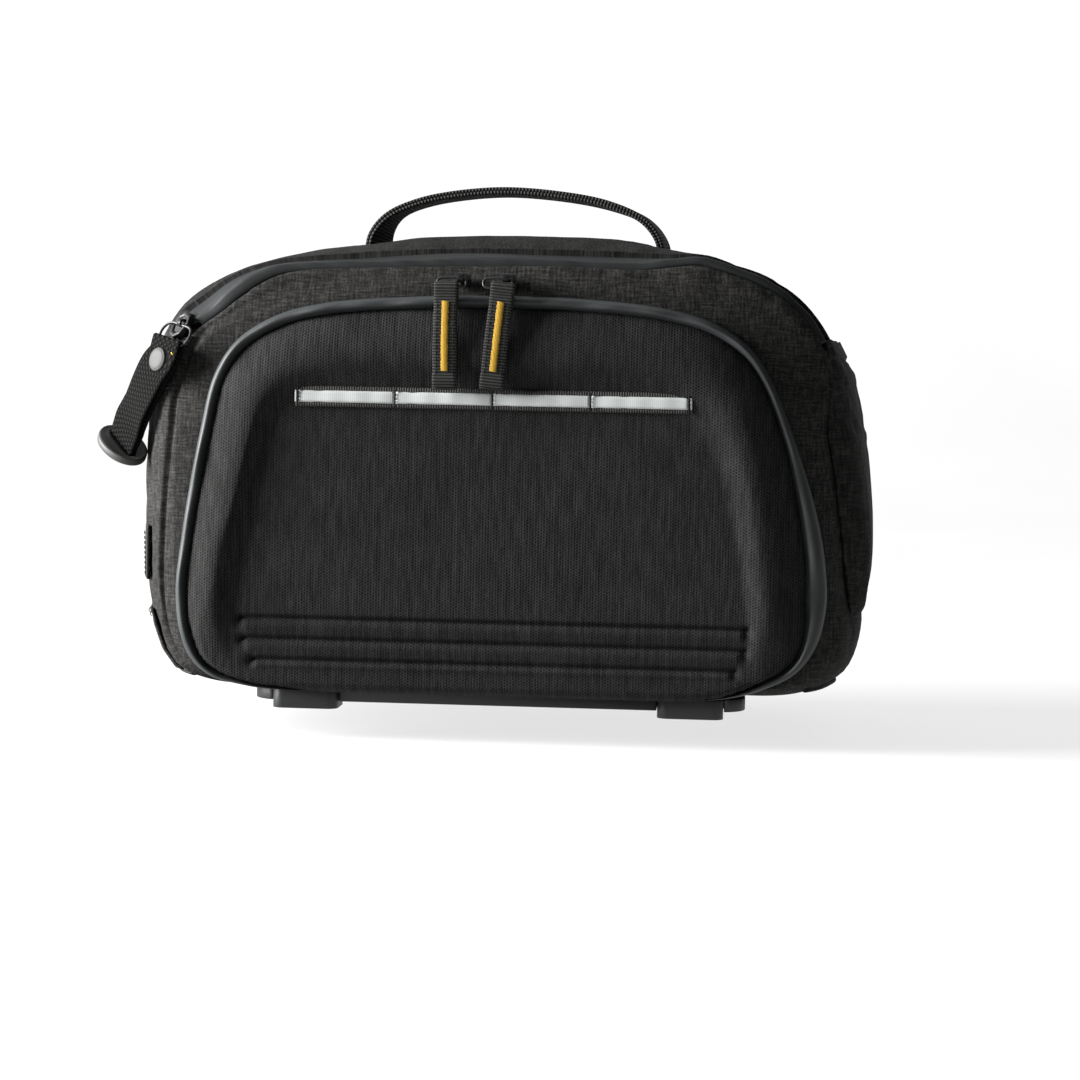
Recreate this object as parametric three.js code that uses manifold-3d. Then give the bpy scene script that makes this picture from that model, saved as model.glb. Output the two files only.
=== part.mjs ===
import * as THREE from 'three';
import Module from 'manifold-3d';
import { mergeVertices } from 'three/addons/utils/BufferGeometryUtils.js';

// A trunk bag that stands on a bicycle's rear rack. Lengths are in millimetres.
// +X points to the bag's front end, -Y to the side with the two zip pulls, and +Z up.
// Until the last step the feet stand on z = 0, and x = 0 is the middle of the side pockets.

const wasm = await Module();
wasm.setup();

// Clearance between pieces that touch, and how far a cutter runs past what it cuts
const GAP = 0.3;
const PAST = 2;

// Main compartment
const BODY_LENGTH = 340;
const BODY_WIDTH = 176;
const BODY_TOP = 220;
const CLOTH_WALL = 3;
const SIDE_INSET = 22;
const CROWN_DROP = 26;
const FLOOR_RISE = 5;
const BODY_POINTS = 44;

// Base and feet
const FOOT_HEIGHT = 8.7;
const FOOT_LENGTH = 30;
const FOOT_WIDTH = 24;
const FOOT_SPACING = 176;
const FOOT_SETBACK = 5;
const FOOT_CORNER = 5;
const BASE_LENGTH = 226;
const BASE_WIDTH = 156;
const BASE_HEIGHT = 5.7;
const BASE_CORNER = 14;
const BINDING_OUT = 4.5;
const BINDING_HEIGHT = 2.6;
const BINDING_LIFT = 4.5;
const BINDING_REACH = 76;
const BINDING_START = 104;

// Moulded side pockets, with the band round each
const PANEL_HALF = 148;
const PANEL_HEIGHT = 180;
const PANEL_STAND = 13;
const PANEL_WALL = 3.5;
const PANEL_POINTS = 48;
const BAND_WIDTH = 4.6;
const BAND_STAND = 6.8;
const BAND_OPEN_REAR = 78;
const BAND_OPEN_FRONT = 92;
const BAND_OPEN_HEIGHT = 22;
const GROOVE_HEIGHT = 4;
const GROOVE_DEPTH = 1.8;

// Main zip, along the near shoulder
const ZIP_SETBACK = 12;
const ZIP_ACROSS = BODY_WIDTH / 2 - ZIP_SETBACK;
const ZIP_WIDTH = 9;
const ZIP_END = 168;
const ZIP_PROUD = 0.8;
const ZIP_WALL = 2;

// Reflective webbing on the near pocket
const DAISY_LENGTH = 178;
const DAISY_CENTRE = -3;
const DAISY_HEIGHT = 9.4;
const DAISY_THICKNESS = 1.4;
const DAISY_DROP = 17.3;
const RIBBON_HEIGHT = 5.3;
const RIBBON_THICKNESS = 0.5;
const RIBBON_COUNT = 4;
const RIBBON_END = 1.5;
const TACK_GAP = 1.2;

// Wire rings and sliders
const WIRE = 1.1;
const WIRE_SIDES = 6;
const RING_END_STEPS = 6;
const SLIDER_LENGTH = 8;
const SLIDER_WIDTH = 6;
const SLIDER_THICKNESS = 2;
const BRIDGE_WIDTH = 2.6;
const EYE_CLEAR = 0.45;
const EYE = WIRE / 2 + EYE_CLEAR;

// Pocket pulls
const TAB_WIDTH = 10.5;
const TAB_LENGTH = 45;
const TAB_THICKNESS = 2.6;
const TAB_EYE_WALL = 1.3;
const TAB_RING_LENGTH = 14;
const TAB_RING_HEIGHT = 6;
const TAB_HEAD_RISE = 3;
const PULL_CENTRE = -12;
const PULL_SPACING = 25.3;
const TAB_CREST = 0.58 * TAB_LENGTH;
const TAB_RING_TILT = [0, 0.35, 1];
const TAB_SLIDER_FACE = [0, -1, 0.25];
const TAB_SLIDER_DROP = 1.2;
const TACK_WIDTH = 3.4;
const TACK_LENGTH = 31;
const TACK_START = 6;
const TACK_THICKNESS = 0.8;

// Pull strap at the rear end
const STRAP_WIDTH = 20;
const STRAP_THICKNESS = 3.4;
const STRAP_RING_LENGTH = 25;
const STRAP_RING_HEIGHT = 12;
const STRAP_LENGTH = 80;
const STRAP_STEPS = 8;
const STRAP_SLIDER_SIZE = 1.25;
// From the slider's seat to the strap's head, the strap's width direction at both its ends, and
// the ring's way up from the strap
const STRAP_HEAD = [-5.5, -10, -10.6];
const STRAP_WIDE_HEAD = [0.74, -0.64, -0.16];
const STRAP_WIDE_TAIL = [0.66, -0.66, -0.36];
const STRAP_RING_WAY = [0.19, 0.47, 0.86];
const STRAP_SLIDER_FACE = [-0.55, -0.62, 0.5];
const RIVET_DIAMETER = 11;
const RIVET_HEIGHT = 1.6;
const RIVET_TOP = 7.9;
const RIVET_DOWN = 11;
const RIVET_SIDES = 12;
const RIVET_LIFT = 0.8;
const GRIP_LENGTH = 28;
const GRIP_WIDTH = 22;
const GRIP_THICKNESS = 3.5;
const STRAP_PROUD = 1;

// Carry handle
const HANDLE_WIDTH = 25;
const HANDLE_THICKNESS = 4;
const HANDLE_SPAN = 140;
const HANDLE_RISE = 24;
const HANDLE_STEPS = 26;

// Rear end: light loop, lower hem and zip garage
const LOOP_HEIGHT = 25;
const LOOP_THICKNESS = 2;
const LOOP_LIFT = 56;
const LOOP_STAND = 5.5;
const LOOP_REACH = 66;
const LOOP_STEPS = 18;
const HEM_TOP = 43;
const HEM_REACH = 66;
const HEM_THICKNESS = 2;
const HEM_START = 110;
const GARAGE_WIDTH = 15;
const GARAGE_BOTTOM = 146;
const GARAGE_THICKNESS = 1.6;
const GARAGE_SETBACK = 4.5;

// Front end pocket
const POCKET_TOP = 172;
const POCKET_BOTTOM = 46;
const POCKET_REACH = 62;
const POCKET_WALL = 1.8;
const POCKET_SEAM = 4;
const POCKET_CORNER = 12.4;
const POCKET_STAND = 6.2;

// Half outlines, from the bottom to the top: a height, and how far out the rear and front ends
// are, as shares of the form's height and half length
const BODY_OUTLINE = [
  { up: 0, rear: 0, front: 0 },
  { up: 0, rear: 0.62, front: 0.62 },
  { up: 0.006, rear: 0.83, front: 0.83 },
  { up: 0.03, rear: 0.915, front: 0.91 },
  { up: 0.07, rear: 0.95, front: 0.955 },
  { up: 0.13, rear: 0.978, front: 0.975 },
  { up: 0.23, rear: 0.995, front: 0.972 },
  { up: 0.4, rear: 1, front: 0.96 },
  { up: 0.57, rear: 0.997, front: 0.942 },
  { up: 0.7, rear: 0.99, front: 0.92 },
  { up: 0.78, rear: 0.968, front: 0.885 },
  { up: 0.85, rear: 0.917, front: 0.83 },
  { up: 0.9, rear: 0.82, front: 0.755 },
  { up: 0.937, rear: 0.68, front: 0.64 },
  { up: 0.963, rear: 0.54, front: 0.53 },
  { up: 0.988, rear: 0.33, front: 0.37 },
  { up: 1, rear: 0, front: 0 },
];
const BAND_OUTLINE = [
  { up: 0, rear: 0, front: 0 },
  { up: 0, rear: 0.6, front: 0.6 },
  { up: 0.01, rear: 0.77, front: 0.71 },
  { up: 0.035, rear: 0.885, front: 0.815 },
  { up: 0.08, rear: 0.945, front: 0.915 },
  { up: 0.15, rear: 0.978, front: 0.973 },
  { up: 0.25, rear: 0.99, front: 0.997 },
  { up: 0.375, rear: 0.975, front: 0.987 },
  { up: 0.5, rear: 0.953, front: 0.953 },
  { up: 0.66, rear: 0.918, front: 0.89 },
  { up: 0.79, rear: 0.88, front: 0.825 },
  { up: 0.875, rear: 0.815, front: 0.76 },
  { up: 0.94, rear: 0.695, front: 0.65 },
  { up: 0.975, rear: 0.54, front: 0.5 },
  { up: 0.996, rear: 0.22, front: 0.24 },
  { up: 1, rear: 0, front: 0 },
];
const FIELD_OUTLINE = [
  { up: 0.04, rear: 0, front: 0 },
  { up: 0.04, rear: 0.5, front: 0.48 },
  { up: 0.045, rear: 0.7, front: 0.68 },
  { up: 0.075, rear: 0.785, front: 0.765 },
  { up: 0.17, rear: 0.81, front: 0.79 },
  { up: 0.33, rear: 0.803, front: 0.77 },
  { up: 0.48, rear: 0.79, front: 0.735 },
  { up: 0.62, rear: 0.765, front: 0.7 },
  { up: 0.72, rear: 0.735, front: 0.66 },
  { up: 0.785, rear: 0.675, front: 0.6 },
  { up: 0.82, rear: 0.58, front: 0.51 },
  { up: 0.835, rear: 0.4, front: 0.37 },
  { up: 0.838, rear: 0, front: 0 },
];

// Sections of the body across its width: a share of the half width, of the inset of both ends
// and the floor, and of the drop of the crown
const BODY_SECTIONS = [
  { across: 0, inset: 0, drop: 0 },
  { across: 0.45, inset: 0.04, drop: 0.12 },
  { across: 0.66, inset: 0.17, drop: 0.25 },
  { across: 0.8, inset: 0.34, drop: 0.43 },
  { across: 0.9, inset: 0.56, drop: 0.62 },
  { across: 0.965, inset: 0.8, drop: 0.82 },
  { across: 1, inset: 1, drop: 1 },
];

// Section of the moulded pocket from its edge to its field: shares of the way in, outside and
// inside, and of its stand, with the share of that stand that the bottom edge keeps
const PANEL_SECTION = [
  { inward: 0, hollow: 0.12, out: 0, low: 0 },
  { inward: 0, hollow: 0.12, out: 0.3, low: 0.3 },
  { inward: 0.05, hollow: 0.16, out: 0.45, low: 0.45 },
  { inward: 0.14, hollow: 0.22, out: 0.56, low: 0.56 },
  { inward: 0.82, hollow: 0.8, out: 1, low: 0.73 },
  { inward: 0.93, hollow: 0.86, out: 1, low: 0.73 },
  { inward: 1.06, hollow: 0.98, out: 0.73, low: 0.73 },
];
// Heights between which the raised rim grows out of the bottom edge
const RIM_START = 0.06;
const RIM_FULL = 0.22;

// Width of the band along its height, as shares of its own width
const BAND_ROWS = [
  { up: 0, rear: 0.1, front: 0.1 },
  { up: 0.03, rear: 0.7, front: 0.8 },
  { up: 0.1, rear: 1, front: 1.3 },
  { up: 0.27, rear: 1, front: 2 },
  { up: 0.45, rear: 1, front: 1.6 },
  { up: 0.65, rear: 1, front: 1 },
  { up: 0.8, rear: 0.95, front: 0.85 },
  { up: 1, rear: 1.1, front: 1.1 },
];
// Section of the band, from its inner edge to its outer one: shares of its width and its stand
const BAND_SECTION = [
  { across: 0, out: 0 },
  { across: 0, out: 0.75 },
  { across: 0.3, out: 1 },
  { across: 0.75, out: 0.9 },
  { across: 1, out: 0.5 },
  { across: 1, out: 0 },
];

// Grooves near the bottom of the field
const GROOVES = [
  { up: 0.186, rear: 0.79, front: 0.77 },
  { up: 0.134, rear: 0.785, front: 0.765 },
  { up: 0.082, rear: 0.755, front: 0.735 },
];

// How far the end pocket stands off along its height and across it, as shares of its stand
const POCKET_BELLY = [
  { up: 0, stand: 0.35 },
  { up: 0.12, stand: 0.8 },
  { up: 0.35, stand: 1 },
  { up: 0.6, stand: 0.85 },
  { up: 1, stand: 0.4 },
];

// Route of the pull strap from its head: outwards past the rear end, back across the bag and
// down, as shares of its length
const STRAP_ROUTE = [
  { out: 0, back: 0, down: 0 },
  { out: 0.026, back: 0, down: 0.08 },
  { out: 0.084, back: 0.035, down: 0.15 },
  { out: 0.158, back: 0.108, down: 0.265 },
  { out: 0.228, back: 0.195, down: 0.385 },
  { out: 0.292, back: 0.286, down: 0.5 },
  { out: 0.343, back: 0.352, down: 0.62 },
];

// Light loop across the rear end: shares of its reach, and of its stand off the body
const LOOP_ROUTE = [
  { across: -1, stand: 0 },
  { across: -0.86, stand: 0 },
  { across: -0.55, stand: 1 },
  { across: 0, stand: 1 },
  { across: 0.55, stand: 1 },
  { across: 0.86, stand: 0 },
  { across: 1, stand: 0 },
];

// Half of a slider's plate, from its narrow end: shares of its length and of its width
const SLIDER_OUTLINE = [
  { along: -0.5, across: 0.25 },
  { along: -0.17, across: 0.5 },
  { along: 0.5, across: 0.42 },
];

// Handle arch, from its rear end to its front end: shares of the half span and of the rise
const HANDLE_ARCH = [
  { along: -0.97, rise: -0.35 },
  { along: -0.96, rise: 0.1 },
  { along: -0.87, rise: 0.5 },
  { along: -0.67, rise: 0.78 },
  { along: -0.2, rise: 1 },
  { along: 0.2, rise: 0.97 },
  { along: 0.62, rise: 0.77 },
  { along: 0.87, rise: 0.46 },
  { along: 0.98, rise: 0.05 },
  { along: 1, rise: -0.35 },
];

// Pocket pulls: where the middles of the tab's head, the ring and the slider are along the bag,
// as shares of the pulls' spacing, and the degrees that the tab leans
const PULLS = [
  { side: 'left', tab: -0.5, ring: -0.41, slider: -0.26, lean: 0.6 },
  { side: 'right', tab: 0.5, ring: 0.405, slider: 0.54, lean: -5 },
];

// Colours as the photo shows them, with roughness and metalness
const finish = (color, roughness, metalness = 0) => (
  new THREE.MeshStandardMaterial({ color, roughness, metalness })
);
const ripstop = finish(0x393836, 0.85);
const moulded = finish(0x2d2d2c, 0.9);
const coated = finish(0x373b3c, 0.45);
const webbing = finish(0x2e2e2b, 0.85);
const thread = finish(0xc99a30, 0.5);
const reflective = finish(0xc6cac8, 0.4);
const wire = finish(0x55565a, 0.35, 0.9);
const snap = finish(0x9b9b97, 0.4, 0.7);
const rubbery = finish(0x383936, 0.6);
const plastic = finish(0x1c1e1d, 0.6);

const lerp = THREE.MathUtils.lerp;
const vec = (x, y, z) => new THREE.Vector3(x, y, z);

// Value of a table's column at a share of its key column
function along(rows, key, column, share) {
  const last = rows.length - 1;
  if (share <= rows[0][key]) {
    return rows[0][column];
  }
  for (let i = 0; i < last; i += 1) {
    const from = rows[i];
    const to = rows[i + 1];
    if (share <= to[key] && to[key] > from[key]) {
      return lerp(from[column], to[column], (share - from[key]) / (to[key] - from[key]));
    }
  }
  return rows[last][column];
}

// A closed solid from its corners and its triangles, turned so that its faces point out
function solidFrom(corners, triangles) {
  let volume = 0;
  for (const [a, b, c] of triangles) {
    volume += corners[a].dot(corners[b].clone().cross(corners[c]));
  }
  const turned = volume < 0 ? triangles.map(([a, b, c]) => [a, c, b]) : triangles;
  return new wasm.Manifold(new wasm.Mesh({
    numProp: 3,
    vertProperties: new Float32Array(corners.flatMap((p) => [p.x, p.y, p.z])),
    triVerts: new Uint32Array(turned.flat()),
  }));
}

// The solid of a three.js geometry
function solid(geometry) {
  const bare = geometry.clone();
  bare.deleteAttribute('normal');
  bare.deleteAttribute('uv');
  const merged = mergeVertices(bare, 1e-4);
  return new wasm.Manifold(new wasm.Mesh({
    numProp: 3,
    vertProperties: new Float32Array(merged.attributes.position.array),
    triVerts: new Uint32Array(merged.index.array),
  }));
}

// A solid through rings of points; open ends are closed by a fan, and a closed loft has none
function loft(rings, closed = false) {
  const corners = rings.flat();
  const count = rings[0].length;
  const triangles = [];
  const spans = closed ? rings.length : rings.length - 1;
  for (let r = 0; r < spans; r += 1) {
    const here = r * count;
    const next = ((r + 1) % rings.length) * count;
    for (let i = 0; i < count; i += 1) {
      const j = (i + 1) % count;
      triangles.push([here + i, here + j, next + j], [here + i, next + j, next + i]);
    }
  }
  if (!closed) {
    const ends = [[rings[0], 0, 1], [rings[rings.length - 1], spans * count, -1]];
    for (const [ring, start, turn] of ends) {
      const middle = ring.reduce((sum, p) => sum.add(p), vec(0, 0, 0)).divideScalar(count);
      const centre = corners.push(middle) - 1;
      for (let i = 0; i < count; i += 1) {
        const pair = [start + i, start + ((i + 1) % count)];
        triangles.push(turn > 0 ? [centre, pair[1], pair[0]] : [centre, pair[0], pair[1]]);
      }
    }
  }
  return solidFrom(corners, triangles);
}

function block(x0, x1, y0, y1, z0, z1) {
  const box = new THREE.BoxGeometry(x1 - x0, y1 - y0, z1 - z0);
  box.translate((x0 + x1) / 2, (y0 + y1) / 2, (z0 + z1) / 2);
  return solid(box);
}

// The closed loop of a half outline, in shares, from the bottom's middle up the front end,
// over the top and down the rear end
function outlineLoop(rows, count) {
  const front = rows.map((row) => vec(row.front, 0, row.up));
  const rear = rows.slice(1, -1).reverse().map((row) => vec(-row.rear, 0, row.up));
  const curve = new THREE.CatmullRomCurve3([...front, ...rear], true, 'centripetal');
  return curve.getSpacedPoints(count).slice(0, count);
}

const BODY_FLOOR = FOOT_HEIGHT + GAP;
const BODY_LOOP = outlineLoop(BODY_OUTLINE, BODY_POINTS);

// The filled form of the main compartment, grown outwards all over, and swelled along X
function bodyForm(grow, swell = () => 0) {
  const far = BODY_SECTIONS.slice(1);
  const near = [...far].reverse().map((row) => ({ ...row, across: -row.across }));
  const rings = [...near, BODY_SECTIONS[0], ...far].map(({ across, inset, drop }) => {
    const half = BODY_LENGTH / 2 - inset * SIDE_INSET + grow;
    const floor = BODY_FLOOR + inset * FLOOR_RISE - grow;
    const top = BODY_TOP - drop * CROWN_DROP + grow;
    return BODY_LOOP.map(({ x, z }) => {
      const point = vec(x * half, across * (BODY_WIDTH / 2 + grow), lerp(floor, top, z));
      point.x += swell(point);
      return point;
    });
  });
  return loft(rings);
}

const bodySkin = bodyForm(GAP);

// Where the body's rear surface is at a place across its width and a height
function rearAt(y, z) {
  const across = Math.abs(y) / (BODY_WIDTH / 2);
  const inset = along(BODY_SECTIONS, 'across', 'inset', across);
  const floor = BODY_FLOOR + inset * FLOOR_RISE;
  const top = BODY_TOP - CROWN_DROP * along(BODY_SECTIONS, 'across', 'drop', across);
  const share = along(BODY_OUTLINE, 'up', 'rear', (z - floor) / (top - floor));
  return -share * (BODY_LENGTH / 2 - inset * SIDE_INSET);
}

const bag = new THREE.Group();

// Adds a solid to the bag as a named mesh
function add(name, body, material) {
  const { vertProperties, triVerts } = body.getMesh();
  const geometry = new THREE.BufferGeometry();
  geometry.setAttribute('position', new THREE.BufferAttribute(vertProperties, 3));
  geometry.setIndex(new THREE.BufferAttribute(triVerts, 1));
  geometry.computeVertexNormals();
  const mesh = new THREE.Mesh(geometry, material);
  mesh.name = name;
  bag.add(mesh);
}

// Main compartment: the ring of crown, ends and floor, with a slot for its zip from one end over
// the shoulder to the other, and the wall behind each side pocket
function zipSlab(clear, bottom) {
  const reach = BODY_LENGTH;
  const half = ZIP_WIDTH / 2 - clear;
  return block(-reach, reach, -ZIP_ACROSS - half, -ZIP_ACROSS + half, bottom, BODY_TOP + reach);
}

function addBody() {
  const cloth = bodyForm(0).subtract(bodyForm(-CLOTH_WALL));
  const reach = BODY_LENGTH;
  const seam = BODY_WIDTH / 2 - CLOTH_WALL;
  const slab = (from, to) => block(-reach, reach, from, to, 0, BODY_TOP + reach);
  const ring = cloth.intersect(slab(GAP - seam, seam - GAP)).subtract(zipSlab(0, ZIP_END));
  add('body_shell', ring, ripstop);
  add('body_wall_near', cloth.intersect(slab(-seam - reach, -seam)), ripstop);
  add('body_wall_far', cloth.intersect(slab(seam, seam + reach)), ripstop);
  const tape = bodyForm(ZIP_PROUD).subtract(bodyForm(ZIP_PROUD - ZIP_WALL));
  add('main_zip_band', tape.intersect(zipSlab(GAP, ZIP_END + GAP)), coated);
}

// Loops of the side pockets, in millimetres
const toPanel = (p) => vec(p.x * PANEL_HALF, 0, BODY_FLOOR + p.z * PANEL_HEIGHT);
const BAND_LOOP = outlineLoop(BAND_OUTLINE, PANEL_POINTS).map(toPanel);
const FIELD_LOOP = outlineLoop(FIELD_OUTLINE, PANEL_POINTS).map(toPanel);

function bandWidth(point) {
  const up = (point.z - BODY_FLOOR) / PANEL_HEIGHT;
  return BAND_WIDTH * along(BAND_ROWS, 'up', point.x < 0 ? 'rear' : 'front', up);
}

// A loop moved inwards by a distance that may change from point to point
function insetLoop(loop, distance) {
  return loop.map((point, i) => {
    const before = loop[(i + loop.length - 1) % loop.length];
    const after = loop[(i + 1) % loop.length];
    const way = after.clone().sub(before).normalize();
    const inward = vec(-way.z, 0, way.x);
    return point.clone().addScaledVector(inward, distance(point));
  });
}

const PANEL_LOOP = insetLoop(BAND_LOOP, (point) => bandWidth(point) + GAP);
const PANEL_BACK = BODY_WIDTH / 2 + GAP;
const FIELD_OUT = PANEL_STAND * PANEL_SECTION.at(-1).out;
const FIELD_TOP = BODY_FLOOR + PANEL_HEIGHT * FIELD_OUTLINE.at(-1).up;

// One ring of the pocket's section; side is -1 for the near pocket and 1 for the far one
function panelRing(side, inward, row, wall) {
  return PANEL_LOOP.map((edge, i) => {
    const point = edge.clone().lerp(FIELD_LOOP[i], inward);
    const up = (point.z - BODY_FLOOR) / PANEL_HEIGHT;
    const rim = THREE.MathUtils.smoothstep(up, RIM_START, RIM_FULL);
    const out = PANEL_STAND * lerp(row.low, row.out, rim) - wall;
    point.y = side * (PANEL_BACK + Math.max(out, wall > 0 ? -PAST : 0));
    return point;
  });
}

function panelForm(side) {
  const outside = loft(PANEL_SECTION.map((row) => panelRing(side, row.inward, row, 0)));
  const inside = loft(PANEL_SECTION.map((row) => panelRing(side, row.hollow, row, PANEL_WALL)));
  let panel = outside.subtract(inside);
  for (const groove of GROOVES) {
    panel = panel.subtract(grooveBar(side, groove));
  }
  return panel;
}

function grooveBar(side, { up, rear, front }) {
  const radius = GROOVE_HEIGHT / 2;
  const level = BODY_FLOOR + up * PANEL_HEIGHT;
  const bar = new THREE.Shape();
  bar.absarc(front * PANEL_HALF - radius, level, radius, -Math.PI / 2, Math.PI / 2);
  bar.absarc(-rear * PANEL_HALF + radius, level, radius, Math.PI / 2, Math.PI * 1.5);
  const geometry = new THREE.ExtrudeGeometry(bar, {
    depth: PANEL_STAND, bevelEnabled: false, curveSegments: 5,
  });
  geometry.rotateX(Math.PI / 2);
  const floor = PANEL_BACK + FIELD_OUT - GROOVE_DEPTH;
  geometry.translate(0, side < 0 ? -floor : floor + PANEL_STAND, 0);
  return solid(geometry);
}

// The rounded band round a pocket, open along the bottom
function bandForm(side) {
  const inner = insetLoop(BAND_LOOP, bandWidth);
  const rings = BAND_LOOP.map((edge, i) => BAND_SECTION.map(({ across, out }) => {
    const point = inner[i].clone().lerp(edge, across);
    point.y = side * (PANEL_BACK + out * BAND_STAND);
    return point;
  }));
  const deep = PANEL_BACK + PANEL_STAND;
  const top = BODY_FLOOR + BAND_OPEN_HEIGHT;
  const mouth = block(-BAND_OPEN_REAR, BAND_OPEN_FRONT, -deep, deep, 0, top);
  return loft(rings, true).subtract(mouth);
}

function addPockets() {
  add('side_panel_near', panelForm(-1), moulded);
  add('pocket_zip_band', bandForm(-1), coated);
  add('side_panel_far', panelForm(1), moulded);
  add('far_side_band', bandForm(1), coated);
}

// Ribbed webbing on the field, and the ribbon on it between the tacks
function addReflective() {
  const back = PANEL_BACK + FIELD_OUT + GAP;
  const start = DAISY_CENTRE - DAISY_LENGTH / 2;
  const lift = FIELD_TOP - DAISY_DROP;
  const low = lift - DAISY_HEIGHT / 2;
  const front = back + DAISY_THICKNESS;
  add('daisy_webbing', block(
    start, start + DAISY_LENGTH, -front, -back, low, low + DAISY_HEIGHT,
  ), webbing);
  const pitch = (DAISY_LENGTH - 2 * RIBBON_END) / RIBBON_COUNT;
  const sole = front + GAP;
  for (let i = 0; i < RIBBON_COUNT; i += 1) {
    const from = start + RIBBON_END + i * pitch + TACK_GAP / 2;
    add(`reflective_strip_${i + 1}`, block(
      from, from + pitch - TACK_GAP, -sole - RIBBON_THICKNESS, -sole,
      lift - RIBBON_HEIGHT / 2, lift + RIBBON_HEIGHT / 2,
    ), reflective);
  }
}

// A flat strip along a path, as wide along each width direction as it says
function strip(points, widths, width, thickness) {
  const rings = points.map((point, i) => {
    const before = points[Math.max(i - 1, 0)];
    const after = points[Math.min(i + 1, points.length - 1)];
    const way = after.clone().sub(before).normalize();
    const side = widths[i].clone().addScaledVector(way, -widths[i].dot(way)).normalize();
    const normal = side.clone().cross(way);
    const edge = thickness / 2;
    const corners = [
      [-width / 2 + edge / 2, -edge], [width / 2 - edge / 2, -edge], [width / 2, 0],
      [width / 2 - edge / 2, edge], [-width / 2 + edge / 2, edge], [-width / 2, 0],
    ];
    return corners.map(([w, n]) => (
      point.clone().addScaledVector(side, w).addScaledVector(normal, n)
    ));
  });
  return loft(rings);
}

// A solid of round section between two points
function rod(from, to, radius, sides = 12) {
  const way = to.clone().sub(from);
  const geometry = new THREE.CylinderGeometry(radius, radius, way.length(), sides);
  const turn = new THREE.Quaternion().setFromUnitVectors(vec(0, 1, 0), way.normalize());
  geometry.applyQuaternion(turn);
  geometry.translate(...from.clone().add(to).divideScalar(2).toArray());
  return solid(geometry);
}

// A wire ring with two straight sides, in the plane of its long and short directions
function wireRing(centre, long, short, length, height) {
  const radius = (height - WIRE) / 2;
  const reach = length / 2 - height / 2;
  const normal = long.clone().cross(short);
  const rings = [];
  const half = RING_END_STEPS + 1;
  for (let i = 0; i < 2 * half; i += 1) {
    const end = i < half ? 1 : -1;
    const angle = ((i % half) / RING_END_STEPS - 0.5) * Math.PI;
    const outward = long.clone().multiplyScalar(end * Math.cos(angle))
      .addScaledVector(short, end * Math.sin(angle));
    const middle = centre.clone().addScaledVector(long, end * reach)
      .addScaledVector(outward, radius);
    rings.push(Array.from({ length: WIRE_SIDES }, (_, k) => {
      const turn = (k / WIRE_SIDES) * 2 * Math.PI;
      return middle.clone()
        .addScaledVector(outward, (Math.cos(turn) * WIRE) / 2)
        .addScaledVector(normal, (Math.sin(turn) * WIRE) / 2);
    }));
  }
  return loft(rings, true);
}

// A direction squared to another one
const squared = (way, to) => way.clone().addScaledVector(to, -way.dot(to)).normalize();

// A zip slider: a tapered plate with a bridge that one long side of its ring passes through.
// seat is the middle of the plate's underside, up its outward normal, long the ring's long
// direction and ringSide the middle of the ring's side
function slider(seat, up, long, ringSide, size = 1) {
  const run = squared(long, up);
  const cross = up.clone().cross(run);
  const lower = SLIDER_OUTLINE.map((row) => [
    row.along * SLIDER_LENGTH * size, -row.across * SLIDER_WIDTH * size,
  ]);
  const upper = [...lower].reverse().map(([x, y]) => [x, -y]);
  const outline = [...lower, ...upper].map(([x, y]) => new THREE.Vector2(x, y));
  const plate = new THREE.ExtrudeGeometry(new THREE.Shape(outline), {
    depth: SLIDER_THICKNESS, bevelEnabled: false,
  });
  plate.applyMatrix4(new THREE.Matrix4().makeBasis(run, cross, up));
  plate.translate(seat.x, seat.y, seat.z);
  const place = (share) => ringSide.clone().addScaledVector(run, share * BRIDGE_WIDTH);
  const post = rod(place(-0.5), place(0.5), EYE + WIRE);
  const reach = ringSide.dot(up) - seat.dot(up);
  const foot = ringSide.clone().addScaledVector(up, -reach + SLIDER_THICKNESS / 2);
  const stem = strip([foot, ringSide], [run, run], BRIDGE_WIDTH, 2 * EYE + WIRE);
  const bore = rod(place(-1), place(1), EYE);
  return solid(plate).add(post).add(stem).subtract(bore);
}

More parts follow.
